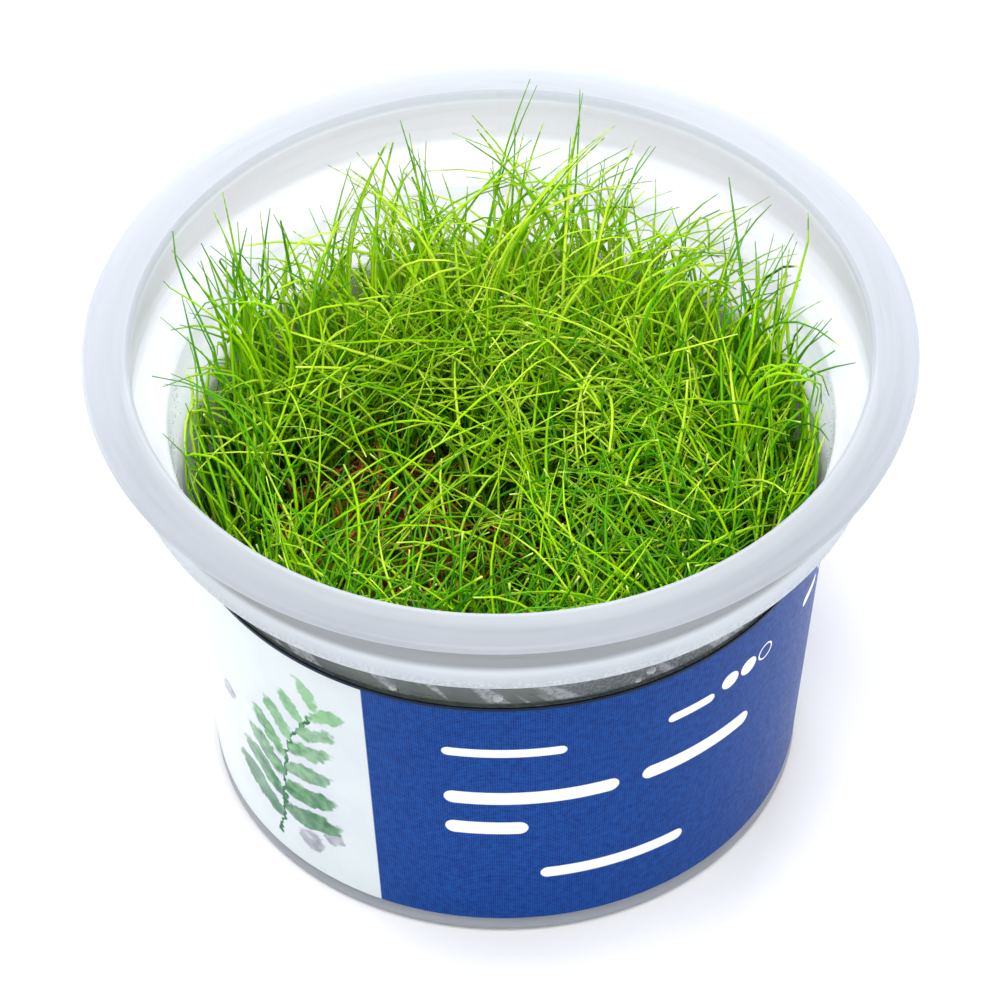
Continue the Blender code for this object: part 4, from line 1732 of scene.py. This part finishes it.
    def grow_turf(self, rng: np.random.Generator) -> Blades:
        """Grow the ordinary blades over the whole mat.

        Args:
            rng: The seeded source of chance.

        Returns:
            The blades.
        """
        x, y = self.stand(rng)
        count = len(x)
        root = self.mat.height(x, y) - self.root_depth
        rise = self.turf_height(x, y) - root
        near_wall = self.ease((np.hypot(x, y) / self.root_reach - 0.55) / 0.35)
        near_wall = np.maximum(near_wall, self.ease((y - 6.0 * MM) / (20.0 * MM)))
        kinds = list(HABITS.values())
        shares = np.array([[h.share, h.wall_share] for h in kinds])
        mixed = shares[:, 0] + (shares[:, 1] - shares[:, 0]) * near_wall[:, None]
        chosen = (rng.random(count)[:, None] > np.cumsum(mixed, axis=1)[:, :-1]).sum(axis=1)
        ranges = zip(*((h.reach, h.top, h.start_tilt, h.end_tilt, h.tone) for h in kinds))
        length, top, start, end, tone = [self.pick(rng, np.array(pairs)[chosen]) for pairs in ranges]
        lift = self.low_lift * rise * near_wall * (chosen == 0)
        length, top = rise * length + lift, rise * top + lift
        tone = self.toned(rng, tone, y, near_wall, chosen == 0)
        tall_here = 0.25 + 0.75 * near_wall * self.ease(y / (15.0 * MM))
        tall = rng.random(count) < self.tall_share * tall_here
        length = np.where(tall, rise * rng.uniform(*self.tall_length, count), length)
        top = np.where(tall, rise * rng.uniform(*self.tall_top, count), top)
        end = np.where(tall, rng.uniform(*self.tall_tilt, count), end)
        shape = self.bent(rng, start, end, self.headings(rng, x, y))
        length = np.minimum(length, top / np.maximum(shape[..., 2].max(axis=1), 0.2))
        paths = shape * length[:, None, None] + np.stack((x, y, root), axis=1)[:, None, :]
        return self.finish(rng, paths, tone)

    def toned(self, rng: np.random.Generator, tone: np.ndarray, y: np.ndarray, near_wall: np.ndarray,
              low: np.ndarray) -> np.ndarray:
        """Paint light onto blades at the back and shade onto those at the front and the wall, and wither a
        few.

        Args:
            rng: The seeded source of chance.
            tone: The blades' own tones.
            y: Where the blades stand.
            near_wall: How near the wall they stand, from 0 to 1.
            low: Which of them belong to the understory.

        Returns:
            The tones, from 0 to 1.
        """
        back = self.ease((y - 8.0 * MM) / (24.0 * MM))
        tone = tone + self.back_painted_light * back * (1.0 - tone) - self.front_shade * self.ease(-y / (30.0 * MM))
        tone = tone - self.wall_shade * near_wall * (1.0 - back)
        tone = np.clip(tone + rng.normal(0.0, self.tone_spread, len(y)), 0.0, 1.0)
        withered = (rng.random(len(y)) < self.dead_share) & low
        return np.where(withered, 1.0, 0.85 * tone)

    def headings(self, rng: np.random.Generator, x: np.ndarray, y: np.ndarray) -> np.ndarray:
        """Choose the way each blade leans: mostly at random, but some alike within a clump.

        Args:
            rng: The seeded source of chance.
            x: Where the blades stand.
            y: Where the blades stand.

        Returns:
            The headings, in radians.
        """
        flow = 2.4 * np.sin(x / (8.3 * MM) + 1.1) + 2.4 * np.cos(y / (7.1 * MM) + 0.4)
        flow = flow + 1.2 * np.sin((x - y) / (4.2 * MM))
        free = rng.random(len(x)) * FULL_TURN
        along_flow = flow + rng.normal(0.0, 0.55, len(x))
        return np.where(rng.random(len(x)) < self.flow_share, along_flow, free)

    def bent(self, rng: np.random.Generator, start: np.ndarray, end: np.ndarray,
             heading: np.ndarray) -> np.ndarray:
        """Bend blades of length 1 over from their first tilt to their last.

        Args:
            rng: The seeded source of chance.
            start: How far each leans at its root, in radians.
            end: How far it leans at its tip.
            heading: The way it leans.

        Returns:
            Their middle lines from the root, blades by points by 3.
        """
        twist = rng.normal(0.0, self.twist, len(start))
        bend = rng.uniform(*self.bend, len(start))
        steps = np.linspace(0.0, 1.0, self.points)
        tilt = start[:, None] + (end - start)[:, None] * steps ** bend[:, None]
        course = heading[:, None] + twist[:, None] * steps
        flat = np.sin(tilt)
        moves = np.stack((flat * np.cos(course), flat * np.sin(course), np.cos(tilt)), axis=2)
        moves /= self.points - 1
        return np.cumsum(moves, axis=1) - moves[:, :1]

    def finish(self, rng: np.random.Generator, paths: np.ndarray, tone: np.ndarray) -> Blades:
        """Keep blades inside the cup and give them their thickness and tips.

        Args:
            rng: The seeded source of chance.
            paths: The blades' middle lines.
            tone: Their tones.

        Returns:
            The blades.
        """
        count = len(paths)
        thick = rng.uniform(*self.thickness, count)
        blunt = rng.random(count) < self.blunt_share
        steps = np.linspace(0.0, 1.0, self.points)
        pointed = (1.12 - 0.2 * steps) * (1.0 - 0.70 * steps ** 5)
        cut = (1.12 - 0.2 * steps) * (1.0 - 0.4 * steps ** 7)
        taper = np.where(blunt[:, None], cut, pointed)
        return Blades(self.keep_inside(paths), thick[:, None] * taper, tone, blunt.astype(float))

    def keep_inside(self, paths: np.ndarray) -> np.ndarray:
        """Lean blades along the cup's wall where they would pass through it.

        Args:
            paths: The blades' middle lines.

        Returns:
            The lines, clear of the wall.
        """
        reach = np.hypot(paths[..., 0], paths[..., 1])
        room = self.cup.room(paths[..., 2]) - self.wall_room
        ease = 1.0 * MM
        held = room - ease * np.log1p(np.exp(np.clip((room - reach) / ease, -30.0, 30.0)))
        inside = np.where(reach < 0.8 * room, reach, np.maximum(held, 0.0))
        scale = inside / np.maximum(reach, 1e-6)
        out = paths.copy()
        out[..., :2] *= scale[..., None]
        return out

    def grow_long(self, rng: np.random.Generator) -> Blades:
        """Grow the longest blades, each through its elbow to its tip, with shorter ones beside them.

        Args:
            rng: The seeded source of chance.

        Returns:
            The blades.
        """
        per_blade = self.companions + 1
        parts = [np.array(part) * MM for part in zip(*self.long_blades)]
        tips, elbows, feet = [np.repeat(part, per_blade, axis=0) for part in parts]
        count = len(tips)
        beside = (np.arange(count) % per_blade > 0)[:, None]
        feet = feet + rng.normal(0.0, self.foot_spread, (count, 2)) * MM * beside
        elbows = elbows + rng.normal(0.0, self.elbow_spread, (count, 3)) * MM * beside
        tips = tips + rng.normal(0.0, self.tip_spread, (count, 3)) * MM * beside
        tips[:, 2:] -= rng.uniform(*self.tip_drop, (count, 1)) * MM * beside
        elbows[:, 2:] -= rng.uniform(*self.elbow_drop, (count, 1)) * MM * beside
        feet *= np.minimum(1.0, self.root_reach / np.linalg.norm(feet, axis=1))[:, None]
        roots = np.column_stack((feet, self.mat.height(feet[:, 0], feet[:, 1]) - self.root_depth))
        lower = np.linalg.norm(elbows - roots, axis=1)
        share = (lower / (lower + np.linalg.norm(tips - elbows, axis=1)))[:, None]
        knee = (elbows - (1 - share) ** 2 * roots - share ** 2 * tips) / (2 * share * (1 - share))
        t = np.linspace(0.0, 1.0, self.points)[None, :, None]
        paths = (1 - t) ** 2 * roots[:, None] + 2 * t * (1 - t) * knee[:, None] + t * t * tips[:, None]
        aside = self.ease((np.abs(feet[:, 0]) - 22.0 * MM) / (10.0 * MM))
        made = self.finish(rng, paths, rng.uniform(*self.long_tone, count) * (1.0 - 0.35 * aside))
        made.blunt[:] = 0.0
        return made

    def build(self) -> list[Object]:
        """Build one piece of blades for each tuft of the frame.

        Returns:
            The pieces, in the tufts' order.
        """
        rng = np.random.default_rng(self.seed)
        blades = self.grow_turf(rng).joined(self.grow_long(rng))
        LOG.info("turf: %d blades", len(blades.tones))
        roots = blades.paths[:, 0, :2]
        owners = np.argmin(np.linalg.norm(roots[:, None] - self.places()[None], axis=2), axis=1)
        finish = BladeFinish().material()
        pieces = []
        for number in range(self.tuft_count):
            own = blades.chosen(owners == number)
            piece = Tubes().build(f"grass_{number + 1:02d}", own.paths, own.radii, own.tones, own.blunt)
            piece.data.materials.append(finish)
            pieces.append(dress(piece, "grass", f"tuft_{number + 1:02d}"))
        return pieces


@dataclass
class Condensation:
    """Beads of water inside the cup's wall, over the label, and a few large drops outside it."""

    cup: Cup
    count: int = 700
    around: Span = (-190.0, 10.0)
    heights: Span = (44.8 * MM, 53.0 * MM)
    least: float = 0.10 * MM
    growth: float = 0.42 * MM
    bulge: float = 0.6
    sunk: float = 0.02 * MM
    sides: int = 9
    rings: int = 3
    seed: int = 3
    large_drops: tuple[tuple[float, float, float], ...] = (
        (-91.3, 46.2 * MM, 0.75 * MM),
        (-64.7, 46.5 * MM, 0.70 * MM),
        (-109.3, 45.9 * MM, 0.60 * MM),
        (-67.0, 45.5 * MM, 0.50 * MM),
        (-80.5, 49.3 * MM, 0.45 * MM),
        (-122.0, 47.5 * MM, 0.40 * MM),
    )

    def drops(self) -> list[tuple[float, float, float, Side]]:
        """Scatter the beads inside the wall, and add the large drops outside it.

        Returns:
            Each one's angle, height, radius and side of the wall.
        """
        rng = np.random.default_rng(self.seed)
        angle = np.radians(rng.uniform(*self.around, self.count))
        height = rng.uniform(*self.heights, self.count)
        radius = self.least + self.growth * rng.random(self.count) ** 4
        beads = [(*row, Side.INNER) for row in zip(angle, height, radius)]
        return beads + [(math.radians(a), z, r, Side.OUTER) for a, z, r in self.large_drops]

    def dome(self, angle: float, height: float, radius: float, side: Side) -> list[Vector]:
        """Work out the points of one low dome on the wall, ring by ring up to its top.

        Args:
            angle: Where it stands round the cup, in radians.
            height: Its middle's height.
            radius: Its radius.
            side: The side of the wall that it stands on.

        Returns:
            The points.
        """
        sign, depth = (1.0, self.sunk) if side is Side.OUTER else (-1.0, self.cup.wall - self.sunk)
        wall = self.cup.body_radius(height) - depth
        out = Vector((sign * math.cos(angle), sign * math.sin(angle), 0.0))
        along = Vector((sign * math.sin(angle), -sign * math.cos(angle), 0.0))
        centre = out * (sign * wall) + Vector((0.0, 0.0, height))
        points = []
        for ring in range(self.rings):
            polar = 0.5 * math.pi * ring / self.rings
            flat = radius * math.cos(polar)
            for spoke in range(self.sides):
                turn = FULL_TURN * spoke / self.sides
                point = centre + along * (flat * math.cos(turn)) + Vector((0, 0, flat * math.sin(turn)))
                points.append(point + out * (self.bulge * radius * math.sin(polar)))
        return points + [centre + out * (self.bulge * radius)]

    def faces(self) -> list[tuple[int, ...]]:
        """Join a dome's points into its wall, its top and its flat back.

        Returns:
            Each face's point numbers.
        """
        spokes = [(spoke, (spoke + 1) % self.sides) for spoke in range(self.sides)]
        top = self.rings * self.sides
        last = top - self.sides
        made = [(low + n, low + k, low + self.sides + k, low + self.sides + n)
                for low in range(0, last, self.sides) for k, n in spokes]
        made += [(last + n, last + k, top) for k, n in spokes]
        return made + [tuple(range(self.sides))]

    def build(self) -> Object:
        """Build all the beads and drops as one piece.

        Returns:
            The piece.
        """
        domes = [self.dome(*drop) for drop in self.drops()]
        count = self.rings * self.sides + 1
        faces = [tuple(count * number + point for point in face)
                 for number in range(len(domes)) for face in self.faces()]
        piece = mesh_from("condensation", np.array([point for dome in domes for point in dome]), faces)
        piece.data.materials.append(BeadFinish().material())
        return dress(piece, "cup_plastic")


@dataclass
class Studio:
    """The camera at the photograph's angle, the soft lights and the pale floor."""

    focal_pixels: float = 8390.0
    distance: float = 1.0
    elevation: float = math.radians(44.31)
    roll: float = math.radians(0.86)
    target_height: float = 64.7 * MM
    target_pixel: tuple[float, float] = (500.36, 346.21)
    frame_pixels: float = 1000.0
    sensor: float = 36.0
    world_strength: float = 0.50
    floor_size: float = 6.0
    lamps: tuple[tuple[str, tuple[float, float, float], float, float], ...] = (
        ("key", (-0.06, -0.26, 1.06), 0.6, 9.2),
        ("fill", (0.05, -0.78, 0.90), 0.6, 3.4),
        ("back", (0.0, 0.80, 0.40), 0.6, 5.6),
        ("back_left", (-0.75, 0.45, 0.25), 0.5, 4.2),
        ("back_right", (0.75, 0.45, 0.25), 0.5, 2.6),
    )

    def camera(self) -> Object:
        """Place the camera so that the rim's middle falls on its pixel.

        Returns:
            The camera.
        """
        data = bpy.data.cameras.new("camera")
        data.sensor_width = self.sensor
        data.lens = self.focal_pixels * self.sensor / self.frame_pixels
        data.clip_start = 0.05
        data.clip_end = 20.0
        camera = bpy.data.objects.new("camera", data)
        bpy.context.scene.collection.objects.link(camera)
        back = Vector((0.0, -math.cos(self.elevation), math.sin(self.elevation)))
        right = Vector((1.0, 0.0, 0.0))
        basis = Matrix((right, back.cross(right), back)).transposed()
        half = 0.5 * self.frame_pixels
        sight = Vector((self.target_pixel[0] - half, half - self.target_pixel[1], -self.focal_pixels))
        aim = Vector((0.0, 0.0, -1.0)).rotation_difference(sight.normalized()).to_matrix()
        turned = basis @ (aim @ Matrix.Rotation(self.roll, 3, "Z")).transposed()
        place = Vector((0.0, 0.0, self.target_height)) + self.distance * back
        camera.matrix_world = Matrix.Translation(place) @ turned.to_4x4()
        bpy.context.scene.camera = camera
        return camera

    def light(self, name: str, place: tuple[float, float, float], size: float, power: float) -> None:
        """Add one soft square light that faces the cup.

        Args:
            name: Its name.
            place: Where it stands.
            size: The length of its sides.
            power: Its power, in watts.
        """
        data = bpy.data.lights.new(name, "AREA")
        data.size = size
        data.energy = power
        lamp = bpy.data.objects.new(name, data)
        lamp.location = place
        aim = Vector((0.0, 0.0, 0.04)) - Vector(place)
        lamp.rotation_euler = aim.to_track_quat("-Z", "Y").to_euler()
        bpy.context.scene.collection.objects.link(lamp)

    def build(self) -> None:
        """Set up the camera, the world, the lights and the floor."""
        self.camera()
        scene = bpy.context.scene
        scene.view_settings.view_transform = "Standard"
        world = bpy.data.worlds.new("studio")
        world.use_nodes = True
        sky = world.node_tree.nodes["Background"]
        sky.inputs["Color"].default_value = (*WHITE, 1.0)
        sky.inputs["Strength"].default_value = self.world_strength
        scene.world = world
        for lamp in self.lamps:
            self.light(*lamp)
        half = 0.5 * self.floor_size
        corners = np.array([(-half, -half, 0.0), (half, -half, 0.0), (half, half, 0.0), (-half, half, 0.0)])
        floor = mesh_from("floor", corners, [(0, 1, 2, 3)])
        floor.data.materials.append(FloorFinish().material())


def main() -> None:
    """Build the studio and every piece of the object, in order."""
    logging.basicConfig(level=logging.INFO, format="%(name)s: %(message)s")
    Studio().build()
    cup = Cup()
    cup.build()
    Label(cup).build()
    mat = RootMat(cup)
    mat.build()
    mat.strands()
    Turf(cup, mat).build()
    Condensation(cup).build()


if __name__ == "__main__":
    main()
